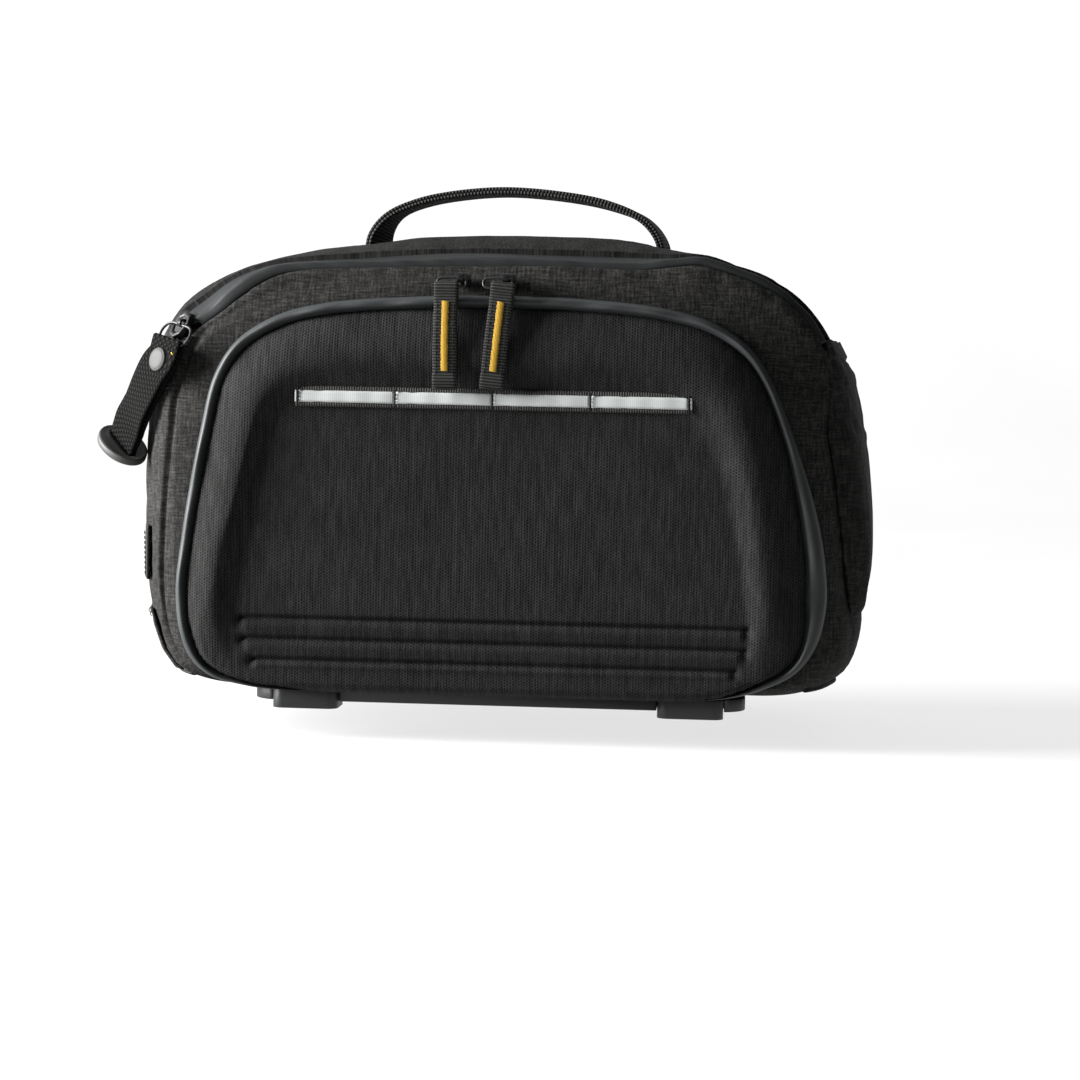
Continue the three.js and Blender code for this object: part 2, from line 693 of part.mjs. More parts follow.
// Pocket pulls: a slider on the zip above the band, a ring and a webbing tab on it
function addPulls() {
  const crest = PANEL_BACK + PANEL_STAND + GAP + TAB_THICKNESS / 2;
  const headOut = PANEL_BACK + BAND_STAND + GAP + TAB_THICKNESS / 2 + TAB_EYE_WALL;
  const headLift = BODY_FLOOR + PANEL_HEIGHT + TAB_HEAD_RISE;
  const tail = headLift - TAB_LENGTH;
  const x = vec(1, 0, 0);
  const tilt = vec(...TAB_RING_TILT).normalize();
  const rise = (TAB_RING_HEIGHT - WIRE) / 2;
  const eyeReach = (TAB_RING_LENGTH - TAB_RING_HEIGHT) / 2 - GAP;
  for (const { side, lean, ...shares } of PULLS) {
    const [tab, ring, middle] = [shares.tab, shares.ring, shares.slider].map(
      (share) => PULL_CENTRE + share * PULL_SPACING,
    );
    const head = vec(tab, -headOut, headLift);
    const line = [
      head, vec(tab, -crest, headLift - TAB_CREST), vec(tab, -crest - GAP, tail),
    ];
    const turn = new THREE.Matrix4().makeTranslation(head)
      .multiply(new THREE.Matrix4().makeRotationY(THREE.MathUtils.degToRad(-lean)))
      .multiply(new THREE.Matrix4().makeTranslation(head.clone().negate()));
    const leaned = line.map((p) => p.clone().applyMatrix4(turn));
    const across = x.clone().applyMatrix4(new THREE.Matrix4().extractRotation(turn));
    const eyeRod = (from, reach, radius) => rod(
      vec(from - reach, head.y, head.z), vec(from + reach, head.y, head.z), radius,
    );
    const cloth = strip(leaned, line.map(() => across), TAB_WIDTH, TAB_THICKNESS)
      .add(eyeRod(ring, eyeReach, EYE + TAB_EYE_WALL))
      .subtract(eyeRod(tab, TAB_WIDTH, EYE));
    add(`pocket_tab_${side}`, cloth, webbing);
    const tackLine = tackPoints(leaned);
    const tack = strip(tackLine, tackLine.map(() => across), TACK_WIDTH, TACK_THICKNESS);
    add(`tab_bartack_${side}`, tack, thread);
    const centre = vec(ring, head.y, head.z).addScaledVector(tilt, rise);
    add(`pocket_ring_${side}`, wireRing(
      centre, x, tilt, TAB_RING_LENGTH, TAB_RING_HEIGHT,
    ), wire);
    const upper = vec(middle, centre.y, centre.z).addScaledVector(tilt, rise);
    const seat = vec(middle, -PANEL_BACK, upper.z - TAB_SLIDER_DROP);
    const outward = vec(...TAB_SLIDER_FACE).normalize();
    add(`pocket_slider_${side}`, slider(seat, outward, x, upper).subtract(bodySkin), wire);
  }
}

// Middle line of the satin bar, a little outside the tab's front face
function tackPoints([head, crest, tail]) {
  const lift = TAB_THICKNESS / 2 + GAP + TACK_THICKNESS / 2;
  const first = crest.clone().sub(head);
  const second = tail.clone().sub(crest);
  const out = (way) => way.clone().normalize().cross(vec(1, 0, 0)).normalize();
  const start = head.clone().addScaledVector(first.clone().normalize(), TACK_START);
  const rest = TACK_LENGTH - (first.length() - TACK_START);
  const end = crest.clone().addScaledVector(second.clone().normalize(), rest);
  return [
    start.addScaledVector(out(first), lift),
    crest.clone().addScaledVector(out(first).add(out(second)).normalize(), lift),
    end.addScaledVector(out(second), lift),
  ];
}

// Rear end of the main zip: slider, ring, pull strap with its rivet, and grip
function addStrap() {
  const seatZ = ZIP_END + SLIDER_LENGTH;
  const seat = vec(rearAt(ZIP_ACROSS, seatZ), -ZIP_ACROSS, seatZ);
  const head = seat.clone().add(vec(...STRAP_HEAD));
  const route = STRAP_ROUTE.map(({ out, back, down }) => (
    vec(-out, back, -down).multiplyScalar(STRAP_LENGTH).add(head)
  ));
  const curve = new THREE.CatmullRomCurve3(route, false, 'centripetal');
  const down = curve.getTangent(0);
  const tip = curve.getTangent(1);
  const wide = squared(vec(...STRAP_WIDE_HEAD), down);
  const wideEnd = squared(vec(...STRAP_WIDE_TAIL), tip);
  const points = curve.getSpacedPoints(STRAP_STEPS);
  const widths = points.map((_, i) => wide.clone().lerp(wideEnd, i / STRAP_STEPS));
  const place = (reach) => head.clone().addScaledVector(wide, reach);
  const eyeReach = (STRAP_RING_LENGTH - STRAP_RING_HEIGHT) / 2 - GAP;
  const cloth = strip(points, widths, STRAP_WIDTH, STRAP_THICKNESS)
    .add(rod(place(-eyeReach), place(eyeReach), EYE + STRAP_THICKNESS / 2))
    .subtract(rod(place(-STRAP_WIDTH), place(STRAP_WIDTH), EYE));
  add('pull_strap', cloth, webbing);
  addRivet(curve, wide);
  addGrip(route.at(-1), tip, wideEnd);

  const ringShort = squared(vec(...STRAP_RING_WAY), wide);
  const rise = (STRAP_RING_HEIGHT - WIRE) / 2;
  const centre = head.clone().addScaledVector(ringShort, rise);
  add('main_zip_ring', wireRing(
    centre, wide, ringShort, STRAP_RING_LENGTH, STRAP_RING_HEIGHT,
  ), wire);
  const upper = centre.clone().addScaledVector(ringShort, rise);
  const outward = vec(...STRAP_SLIDER_FACE).normalize();
  const body = slider(seat, outward, wide, upper, STRAP_SLIDER_SIZE)
    .subtract(bodyForm(ZIP_PROUD + GAP));
  add('main_zip_slider', body, wire);
}

// The cap on the strap's outer face
function addRivet(curve, wide) {
  const share = RIVET_DOWN / curve.getLength();
  const way = curve.getTangentAt(share);
  const normal = way.clone().cross(squared(wide, way));
  const face = normal.multiplyScalar(normal.y > 0 ? -1 : 1);
  const foot = curve.getPointAt(share).addScaledVector(face, STRAP_THICKNESS / 2 + RIVET_LIFT);
  const cap = new THREE.LatheGeometry([
    new THREE.Vector2(0, 0),
    new THREE.Vector2(RIVET_DIAMETER / 2, 0),
    new THREE.Vector2(RIVET_DIAMETER / 2, RIVET_HEIGHT / 2),
    new THREE.Vector2(RIVET_TOP / 2, RIVET_HEIGHT),
    new THREE.Vector2(0, RIVET_HEIGHT),
  ], RIVET_SIDES);
  cap.applyQuaternion(new THREE.Quaternion().setFromUnitVectors(vec(0, 1, 0), face));
  cap.translate(foot.x, foot.y, foot.z);
  add('strap_rivet', solid(cap), snap);
}

// The oval grip across the strap's end, with the slot that the strap goes through
function addGrip(end, tip, wide) {
  const plate = new THREE.Shape();
  plate.absellipse(0, 0, GRIP_LENGTH / 2, GRIP_WIDTH / 2, 0, Math.PI * 2);
  const reach = STRAP_WIDTH / 2 + GAP;
  const half = STRAP_THICKNESS / 2 + GAP;
  plate.holes.push(new THREE.Path([
    new THREE.Vector2(-reach, -half),
    new THREE.Vector2(reach, -half),
    new THREE.Vector2(reach, half),
    new THREE.Vector2(-reach, half),
  ]));
  const disc = new THREE.ExtrudeGeometry(plate, {
    depth: GRIP_THICKNESS, bevelEnabled: false, curveSegments: 12,
  });
  disc.translate(0, 0, -GRIP_THICKNESS - STRAP_PROUD);
  disc.applyMatrix4(new THREE.Matrix4().makeBasis(wide, tip.clone().cross(wide), tip));
  disc.translate(end.x, end.y, end.z);
  add('strap_grip', solid(disc), rubbery);
}

function addHandle() {
  const half = HANDLE_SPAN / 2;
  const arch = HANDLE_ARCH.map(({ along: share, rise }) => (
    vec(share * half, 0, BODY_TOP - HANDLE_THICKNESS / 2 + rise * HANDLE_RISE)
  ));
  const curve = new THREE.CatmullRomCurve3(arch, false, 'centripetal');
  const points = curve.getSpacedPoints(HANDLE_STEPS);
  const widths = points.map(() => vec(0, 1, 0));
  add('handle', strip(points, widths, HANDLE_WIDTH, HANDLE_THICKNESS).subtract(bodySkin), webbing);
}

// The webbing loop round the rear end, held at both its ends
function addLightLoop() {
  const lift = LOOP_LIFT + LOOP_HEIGHT / 2;
  const points = LOOP_ROUTE.map(({ across, stand }) => {
    const y = across * LOOP_REACH;
    const off = GAP + LOOP_THICKNESS / 2 + stand * LOOP_STAND;
    return vec(rearAt(y, lift) - off, y, lift);
  });
  const curve = new THREE.CatmullRomCurve3(points, false, 'centripetal');
  const path = curve.getSpacedPoints(LOOP_STEPS);
  const widths = path.map(() => vec(0, 0, 1));
  add('light_loop', strip(path, widths, LOOP_HEIGHT, LOOP_THICKNESS).subtract(bodySkin), webbing);
}

// A layer of cloth on the body, within a block
const layer = (thickness, region) => bodyForm(thickness + GAP).subtract(bodySkin).intersect(region);

function addRearLayers() {
  const reach = BODY_LENGTH;
  const bindingTop = BODY_FLOOR + BINDING_LIFT + BINDING_HEIGHT;
  add('lower_hem_panel', layer(HEM_THICKNESS, block(
    -reach, -HEM_START, -HEM_REACH, HEM_REACH, bindingTop + GAP, HEM_TOP,
  )), ripstop);
  const near = -BODY_WIDTH / 2 + GARAGE_SETBACK;
  add('zip_garage', layer(GARAGE_THICKNESS, block(
    -reach, 0, near, near + GARAGE_WIDTH, GARAGE_BOTTOM, ZIP_END,
  )), webbing);
  for (const [side, end] of [['rear', -1], ['front', 1]]) {
    const from = Math.min(end * BINDING_START, end * reach);
    const to = Math.max(end * BINDING_START, end * reach);
    add(`base_binding_${side}`, layer(BINDING_OUT, block(
      from, to, -BINDING_REACH, BINDING_REACH, bindingTop - BINDING_HEIGHT, bindingTop,
    )), webbing);
  }
}

// The front end pocket: a belly of cloth, open at the top, closed round its other edges
function pocketBelly(share) {
  return (point) => {
    if (point.x < 0) {
      return 0;
    }
    const up = (point.z - POCKET_BOTTOM) / (POCKET_TOP - POCKET_BOTTOM);
    return share * along(POCKET_BELLY, 'up', 'stand', up);
  };
}

function pocketRegion(margin, top) {
  const corner = POCKET_CORNER;
  const half = POCKET_REACH - margin;
  const low = POCKET_BOTTOM + margin;
  const shape = new THREE.Shape();
  shape.moveTo(-half, top);
  shape.lineTo(-half, low + corner);
  shape.quadraticCurveTo(-half, low, -half + corner, low);
  shape.lineTo(half - corner, low);
  shape.quadraticCurveTo(half, low, half, low + corner);
  shape.lineTo(half, top);
  const geometry = new THREE.ExtrudeGeometry(shape, {
    depth: BODY_LENGTH, bevelEnabled: false, curveSegments: 4,
  });
  geometry.rotateX(Math.PI / 2);
  geometry.rotateZ(Math.PI / 2);
  return solid(geometry);
}

function addEndPocket() {
  const outer = bodyForm(0, pocketBelly(POCKET_STAND + POCKET_WALL));
  const air = bodyForm(0, pocketBelly(POCKET_STAND));
  const pocket = outer.intersect(pocketRegion(0, POCKET_TOP))
    .subtract(bodySkin)
    .subtract(air.intersect(pocketRegion(POCKET_SEAM, POCKET_TOP + PAST)));
  add('end_pocket', pocket, ripstop);
}

// A plate with rounded corners, standing on z = bottom
function roundedPlate(x, y, length, width, corner, bottom, height) {
  const shape = new THREE.Shape();
  const hx = length / 2;
  const hy = width / 2;
  shape.absarc(x + hx - corner, y + hy - corner, corner, 0, Math.PI / 2);
  shape.absarc(x - hx + corner, y + hy - corner, corner, Math.PI / 2, Math.PI);
  shape.absarc(x - hx + corner, y - hy + corner, corner, Math.PI, Math.PI * 1.5);
  shape.absarc(x + hx - corner, y - hy + corner, corner, Math.PI * 1.5, Math.PI * 2);
  const geometry = new THREE.ExtrudeGeometry(shape, {
    depth: height, bevelEnabled: false, curveSegments: 3,
  });
  geometry.translate(0, 0, bottom);
  return solid(geometry);
}

function addBase() {
  let base = roundedPlate(
    0, 0, BASE_LENGTH, BASE_WIDTH, BASE_CORNER, FOOT_HEIGHT - BASE_HEIGHT, BASE_HEIGHT,
  );
  const footY = BODY_WIDTH / 2 - FOOT_SETBACK - FOOT_WIDTH / 2;
  const places = [
    ['near_left', -1, -1], ['near_right', 1, -1], ['far_left', -1, 1], ['far_right', 1, 1],
  ];
  for (const [name, end, side] of places) {
    const x = (end * FOOT_SPACING) / 2;
    const y = side * footY;
    add(`foot_${name}`, roundedPlate(
      x, y, FOOT_LENGTH, FOOT_WIDTH, FOOT_CORNER, 0, FOOT_HEIGHT,
    ), plastic);
    base = base.subtract(roundedPlate(
      x, y, FOOT_LENGTH + 2 * GAP, FOOT_WIDTH + 2 * GAP, FOOT_CORNER + GAP, -PAST, FOOT_HEIGHT * 2,
    ));
  }
  add('base_panel', base, coated);
}

addBody();
addPockets();
addReflective();
addPulls();
addStrap();
addHandle();
addLightLoop();
addRearLayers();
addEndPocket();
addBase();

// The origin is the middle of the whole bag's footprint, at the bottom of the feet
const whole = new THREE.Box3().setFromObject(bag);
const middle = whole.getCenter(new THREE.Vector3());
bag.position.set(-middle.x, -middle.y, -whole.min.z);
bag.updateMatrixWorld(true);

export default bag;
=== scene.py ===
"""A trunk bag that stands on a bicycle's rear rack, dressed for rendering.

Shapes are made in millimetres, with x = 0 at the middle of the side pockets, the near side at -Y
and the feet on z = 0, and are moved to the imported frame, in metres, when their mesh is made.
"""

import math

import bpy
import numpy as np
from mathutils import Matrix, Vector


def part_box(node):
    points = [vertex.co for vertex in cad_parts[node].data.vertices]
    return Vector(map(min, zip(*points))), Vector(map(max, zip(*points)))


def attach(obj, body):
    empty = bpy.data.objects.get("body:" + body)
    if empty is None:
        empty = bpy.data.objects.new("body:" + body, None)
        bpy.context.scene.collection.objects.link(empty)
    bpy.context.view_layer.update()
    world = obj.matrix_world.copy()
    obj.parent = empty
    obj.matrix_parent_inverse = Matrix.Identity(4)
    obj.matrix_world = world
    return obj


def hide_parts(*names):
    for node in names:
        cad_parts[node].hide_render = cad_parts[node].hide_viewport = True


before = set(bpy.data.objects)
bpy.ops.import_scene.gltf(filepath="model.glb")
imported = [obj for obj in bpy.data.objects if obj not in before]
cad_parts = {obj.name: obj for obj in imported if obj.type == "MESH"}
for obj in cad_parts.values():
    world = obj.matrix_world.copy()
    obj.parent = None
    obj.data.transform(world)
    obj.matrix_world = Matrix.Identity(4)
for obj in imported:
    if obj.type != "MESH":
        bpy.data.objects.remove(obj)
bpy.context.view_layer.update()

MM = 0.001
base_low, base_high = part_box("base_panel")
SHIFT = np.array([(base_low.x + base_high.x) / 2, (base_low.y + base_high.y) / 2, 0])
rng = np.random.default_rng(7)

# Sizes of the solids, in millimetres
GAP = 0.3
BODY_LENGTH, BODY_WIDTH, BODY_TOP = 340, 176, 220
SIDE_INSET, CROWN_DROP, FLOOR_RISE, BODY_FLOOR = 22, 26, 5, 9
PANEL_HALF, PANEL_HEIGHT, PANEL_STAND = 148, 180, 13
PANEL_BACK = BODY_WIDTH / 2 + GAP
BAND_WIDTH, BAND_STAND = 4.6, 6.8
# Height of the zip's two ends
ZIP_END = 168
# The coated tape lies between these places across the bag
TAPE_LOW, TAPE_HIGH = -80.5, -67.5

# Half outlines: height, rear and front, as shares
BODY_OUTLINE = [
    (0, 0, 0), (0, 0.62, 0.62), (0.006, 0.83, 0.83), (0.03, 0.915, 0.91), (0.07, 0.95, 0.955),
    (0.13, 0.978, 0.975), (0.23, 0.995, 0.972), (0.4, 1, 0.96), (0.57, 0.997, 0.942),
    (0.7, 0.99, 0.915), (0.78, 0.963, 0.872), (0.85, 0.905, 0.808), (0.9, 0.803, 0.724),
    (0.937, 0.66, 0.61), (0.963, 0.52, 0.508), (0.988, 0.31, 0.36), (1, 0, 0),
]
BAND_OUTLINE = [
    (0, 0, 0), (0, 0.6, 0.6), (0.01, 0.77, 0.71), (0.035, 0.885, 0.815), (0.08, 0.945, 0.915),
    (0.15, 0.978, 0.973), (0.25, 0.99, 0.997), (0.375, 0.975, 0.987), (0.5, 0.953, 0.953),
    (0.66, 0.918, 0.89), (0.79, 0.88, 0.825), (0.875, 0.815, 0.76), (0.94, 0.695, 0.65),
    (0.975, 0.54, 0.5), (0.996, 0.22, 0.24), (1, 0, 0),
]
CREST_OUTLINE = [
    (0.04, 0, 0), (0.04, 0.5, 0.48), (0.045, 0.72, 0.7), (0.075, 0.825, 0.785), (0.17, 0.86, 0.815),
    (0.33, 0.846, 0.802), (0.48, 0.802, 0.775), (0.62, 0.766, 0.742), (0.72, 0.735, 0.7),
    (0.785, 0.675, 0.635), (0.82, 0.58, 0.54), (0.835, 0.4, 0.38), (0.838, 0, 0),
]
# Sections of the body across its width: share of the half width, of the inset and of the drop
BODY_SECTIONS = [
    (0, 0, 0), (0.2, 0, 0.03), (0.45, 0.04, 0.12), (0.66, 0.17, 0.25), (0.8, 0.34, 0.43),
    (0.9, 0.56, 0.62), (0.965, 0.8, 0.82), (1, 1, 1),
]
# Width of the pocket band: height, then shares at the rear and at the front
BAND_ROWS = [
    (0, 0.1, 0.1), (0.03, 0.7, 0.65), (0.1, 1, 1), (0.17, 1, 1.5), (0.27, 1, 1.95), (0.45, 1, 1.6),
    (0.65, 1, 1), (0.8, 0.95, 0.85), (1, 1.1, 1.1),
]
# Foot of the slope inside the pocket's rim
FOOT_OUTLINE = [
    (0.05, 0, 0), (0.05, 0.48, 0.45), (0.055, 0.68, 0.62), (0.085, 0.78, 0.72), (0.17, 0.805, 0.75),
    (0.33, 0.8, 0.73), (0.48, 0.762, 0.695), (0.6, 0.726, 0.65), (0.67, 0.69, 0.6),
    (0.72, 0.635, 0.535), (0.748, 0.54, 0.45), (0.763, 0.38, 0.33), (0.767, 0, 0),
]
# Section of the moulded rim: share of the way in from the pocket's edge to its crest, and of the stand
PANEL_PROFILE = [
    (-0.3, 0), (0, 0.2), (0.06, 0.38), (0.15, 0.5), (0.35, 0.68), (0.6, 0.87), (0.85, 0.985), (1, 1),
]
FIELD_STAND = 0.66
# Grooves of the field: height, rear and front ends
GROOVES = [(0.186, 0.79, 0.77), (0.134, 0.785, 0.765), (0.082, 0.755, 0.735)]


def catmull(points, closed=False, steps=24):
    """A centripetal Catmull-Rom curve through points, as many columns as they have."""
    p = np.array(points, float)
    n = len(p)
    if closed:
        wide = np.vstack([p[-1], p, p[0], p[1]])
        spans = n
    else:
        wide = np.vstack([2 * p[0] - p[1], p, 2 * p[-1] - p[-2]])
        spans = n - 1
    t = np.linspace(0, 1, steps, endpoint=False)[:, None]
    out = []
    for i in range(spans):
        a, b, c, d = wide[i:i + 4]
        da, db, dc = (max(np.linalg.norm(v) ** 0.5, 1e-4) for v in (b - a, c - b, d - c))
        m1 = ((b - a) / da - (c - a) / (da + db) + (c - b) / db) * db
        m2 = ((c - b) / db - (d - b) / (db + dc) + (d - c) / dc) * db
        out.append(
            (2 * t**3 - 3 * t**2 + 1) * b + (t**3 - 2 * t**2 + t) * m1
            + (-2 * t**3 + 3 * t**2) * c + (t**3 - t**2) * m2
        )
    if not closed:
        out.append(p[-1:])
    return np.vstack(out)


def spaced(points, count, closed=False):
    """Points an even way apart along a line."""
    line = np.vstack([points, points[:1]]) if closed else np.asarray(points, float)
    run = run_along(line)
    at = np.linspace(0, run[-1], count + 1)[:-1] if closed else np.linspace(0, run[-1], count)
    return np.stack([np.interp(at, run, line[:, k]) for k in range(line.shape[1])], 1)


def outline(rows, count):
    """Closed loop (x share, height share) from the bottom's middle up the front end."""
    front = [(r[2], r[0]) for r in rows]
    rear = [(-r[1], r[0]) for r in rows[1:-1]][::-1]
    return spaced(catmull(front + rear, True), count, True)


def smooth(x, low, high):
    t = np.clip((x - low) / (np.asarray(high) - low), 0, 1)
    return t * t * (3 - 2 * t)


def monotone(rows, column, x):
    """A smooth curve through a table's column that doesn't overshoot."""
    k = np.array([r[0] for r in rows], float)
    v = np.array([r[column] for r in rows], float)
    slope = np.diff(v) / np.diff(k)
    m = np.concatenate([[slope[0]], (slope[1:] + slope[:-1]) / 2, [slope[-1]]])
    for i, s in enumerate(slope):
        if s == 0:
            m[i] = m[i + 1] = 0
        else:
            m[i] = np.clip(m[i] / s, 0, 3) * s
            m[i + 1] = np.clip(m[i + 1] / s, 0, 3) * s
    i = np.clip(np.searchsorted(k, x, side="right") - 1, 0, len(slope) - 1)
    h = k[i + 1] - k[i]
    t = np.clip((x - k[i]) / h, 0, 1)
    return (
        (2 * t**3 - 3 * t**2 + 1) * v[i] + (t**3 - 2 * t**2 + t) * h * m[i]
        + (-2 * t**3 + 3 * t**2) * v[i + 1] + (t**3 - t**2) * h * m[i + 1]
    )


def unit(v):
    return v / np.maximum(np.linalg.norm(v, axis=-1, keepdims=True), 1e-9)


# Meshes

def mesh_piece(name, points, faces, material, replaces=(), uv=None, flat=False):
    """A piece of the bag from points in millimetres; uv is one pair, in metres, for each point."""
    mesh = bpy.data.meshes.new(name)
    placed = np.asarray(points, float) * MM + SHIFT
    mesh.from_pydata(placed.tolist(), [], [list(map(int, f)) for f in faces])
    if uv is not None:
        layer = mesh.uv_layers.new(name="weave")
        loops = np.array([l.vertex_index for l in mesh.loops])
        layer.data.foreach_set("uv", np.asarray(uv, float)[loops].astype(np.float32).ravel())
    mesh.polygons.foreach_set("use_smooth", [not flat] * len(mesh.polygons))
    mesh.update()
    piece = bpy.data.objects.new(name, mesh)
    bpy.context.scene.collection.objects.link(piece)
    mesh.materials.append(material)
    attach(piece, "root")
    if replaces:
        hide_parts(*replaces)
    return piece


def thicken(piece, thickness):
    """Give a sheet a thickness in millimetres, inwards."""
    solid = piece.modifiers.new("thickness", "SOLIDIFY")
    solid.thickness, solid.offset = thickness * MM, -1


def grid_faces(rows, columns, close_rows=False, close_columns=False, start=0):
    faces = []
    for i in range(rows if close_rows else rows - 1):
        for j in range(columns if close_columns else columns - 1):
            a = i * columns + j
            b = i * columns + (j + 1) % columns
            c = ((i + 1) % rows) * columns + (j + 1) % columns
            d = ((i + 1) % rows) * columns + j
            faces.append((start + a, start + b, start + c, start + d))
    return faces


def end_faces(rows, columns):
    """The two faces that close a grid of rings."""
    last = (rows - 1) * columns
    return [tuple(range(columns))[::-1], tuple(last + k for k in range(columns))]


def run_along(path):
    """How far along a path each of its points is."""
    return np.concatenate([[0], np.cumsum(np.linalg.norm(np.diff(path, axis=0), axis=1))])


def grid_uv(grid):
    """Arc lengths along the columns and rows of a grid of points, in metres."""
    along = np.linalg.norm(np.diff(grid, axis=1), axis=2)
    down = np.linalg.norm(np.diff(grid, axis=0), axis=2)
    u = np.concatenate([np.zeros((len(grid), 1)), np.cumsum(along, 1)], 1)
    v = np.concatenate([np.zeros((1, grid.shape[1])), np.cumsum(down, 0)], 0)
    v = np.repeat(v.mean(1, keepdims=True), grid.shape[1], 1)
    return (np.stack([u, v], 2) * MM).reshape(-1, 2)


def frames_along(path, wide):
    """Tangents, widths squared to them, and normals along a path."""
    way = unit(np.gradient(path, axis=0))
    side = unit(wide - way * np.sum(wide * way, 1, keepdims=True))
    return way, side, np.cross(side, way)


def ribbon(path, wide, width, thickness, steps=10):
    """A flat band with rounded edges along a path: points, faces and uv."""
    _, side, normal = frames_along(path, wide)
    half = np.broadcast_to(np.asarray(width, float), len(path)) / 2
    thick = np.broadcast_to(np.asarray(thickness, float), len(path)) / 2
    face = [(s, 1 - 0.12 * abs(s) ** 8) for s in np.linspace(-1, 1, steps + 1)]
    back = [(s, -n) for s, n in face[::-1]]
    section = face + [(1, 0.5), (1.001, -0.5)] + back + [(-1.001, -0.5), (-1, 0.5)]
    points = np.empty((len(path), len(section), 3))
    for k, (s, n) in enumerate(section):
        reach = s * (half - (0.5 * thick if abs(n) > 0.6 else 0))
        points[:, k] = path + side * reach[:, None] + normal * (n * thick)[:, None]
    count = len(section)
    faces = grid_faces(len(path), count, close_columns=True) + end_faces(len(path), count)
    u = np.array([s for s, _ in section])[None, :] * half[:, None] + half[:, None]
    v = np.repeat(run_along(path)[:, None], count, 1)
    return points.reshape(-1, 3), faces, (np.stack([u, v], 2) * MM).reshape(-1, 2)


def tube(path, radius, sides=10, closed=False, flatten=1.0, up=(0, 0, 1)):
    """A round tube along a path: points, faces and uv."""
    path = np.asarray(path, float)
    way = np.roll(path, -1, 0) - np.roll(path, 1, 0) if closed else np.gradient(path, axis=0)
    way = unit(way)
    side = unit(np.cross(way, np.broadcast_to(np.array(up, float), path.shape)))
    for i in range(1, len(path)):
        carried = side[i - 1] - way[i] * np.dot(side[i - 1], way[i])
        side[i] = carried / max(np.linalg.norm(carried), 1e-9)
    normal = np.cross(side, way)
    turn = np.linspace(0, 2 * math.pi, sides, endpoint=False)
    r = np.broadcast_to(np.asarray(radius, float), len(path))[:, None, None]
    points = (
        path[:, None] + r * np.cos(turn)[None, :, None] * side[:, None]
        + r * flatten * np.sin(turn)[None, :, None] * normal[:, None]
    )
    faces = grid_faces(len(path), sides, close_rows=closed, close_columns=True)
    if not closed:
        faces += end_faces(len(path), sides)
    uv = np.stack([
        np.repeat(run_along(path)[:, None], sides, 1),
        np.broadcast_to(turn * np.mean(r), (len(path), sides)),
    ], 2) * MM
    return points.reshape(-1, 3), faces, uv.reshape(-1, 2)


def join(parts):
    """Several sets of points, faces and uv as one."""
    points, faces, uvs, start = [], [], [], 0
    for p, f, uv in parts:
        points.append(p)
        faces += [tuple(start + k for k in face) for face in f]
        uvs.append(uv)
        start += len(p)
    return np.vstack(points), faces, np.vstack(uvs)


def bars(starts, ends, normals, radius=0.28, lift=0.12):
    """Stitches as small rounded bars between pairs of points."""
    starts, ends = np.asarray(starts, float), np.asarray(ends, float)
    normals = np.broadcast_to(np.asarray(normals, float), starts.shape)
    sides, rings = 6, [(-0.5, 0.15), (-0.42, 0.8), (-0.2, 1), (0.2, 1), (0.42, 0.8), (0.5, 0.15)]
    parts = []
    for a, b, n in zip(starts, ends, normals):
        way = unit(b - a)
        side = unit(np.cross(way, n))
        up = np.cross(side, way)
        length = np.linalg.norm(b - a)
        points = []
        for along, fat in rings:
            centre = (a + b) / 2 + way * along * length + n * (lift - abs(along) * radius * 1.2)
            for k in range(sides):
                t = 2 * math.pi * k / sides
                points.append(centre + (side * math.cos(t) + up * math.sin(t)) * radius * fat)
        faces = grid_faces(len(rings), sides, close_columns=True)
        uv = np.zeros((len(points), 2))
        uv[:, 0] = np.repeat([r[0] for r in rings], sides) * length * MM
        parts.append((np.array(points), faces, uv))
    return join(parts)


def stitch_line(path, normals, pitch=3.2, fill=0.72, radius=0.26, lift=0.1):
    """A row of stitches along a path."""
    path = np.asarray(path, float)
    normals = np.broadcast_to(np.asarray(normals, float), path.shape)
    count = max(int(run_along(path)[-1] / pitch), 2)
    line = spaced(np.hstack([path, normals]), count * 10 + 1)
    cut = max(int(10 * fill), 2)
    first = line[:-1:10][:count]
    last = line[cut::10][:count]
    return bars(first[:, :3], last[:, :3], unit(first[:, 3:] + last[:, 3:]), radius, lift)


def normals_of(points, faces):
    mesh = bpy.data.meshes.new("probe")
    mesh.from_pydata(np.asarray(points, float).tolist(), [], faces)
    mesh.update()
    out = np.empty(len(points) * 3)
    mesh.vertices.foreach_get("normal", out)
    bpy.data.meshes.remove(mesh)
    return out.reshape(-1, 3)


def soft_noise(points, scale, seed=0.0):
    """A smooth wave pattern of about unit height, from sums of turned waves."""
    local = np.random.default_rng(int(seed * 10) + 3)
    out = np.zeros(len(points))
    for _ in range(14):
        k = unit(local.normal(size=3)) * local.uniform(0.6, 1.6) / scale * 2 * math.pi
        out += np.sin(points @ k + local.uniform(0, 2 * math.pi))
    return out / 3.8


# Camera: the photo's angle, from the sizes that it shows, with its focal length in the photo's pixels

CAMERA_PLACE, CAMERA_TURN = (98, -1250, 143), (3.9, 3.1, 1.2)
PHOTO_FOCAL, PHOTO_WIDTH, SENSOR = 2590, 1080, 36


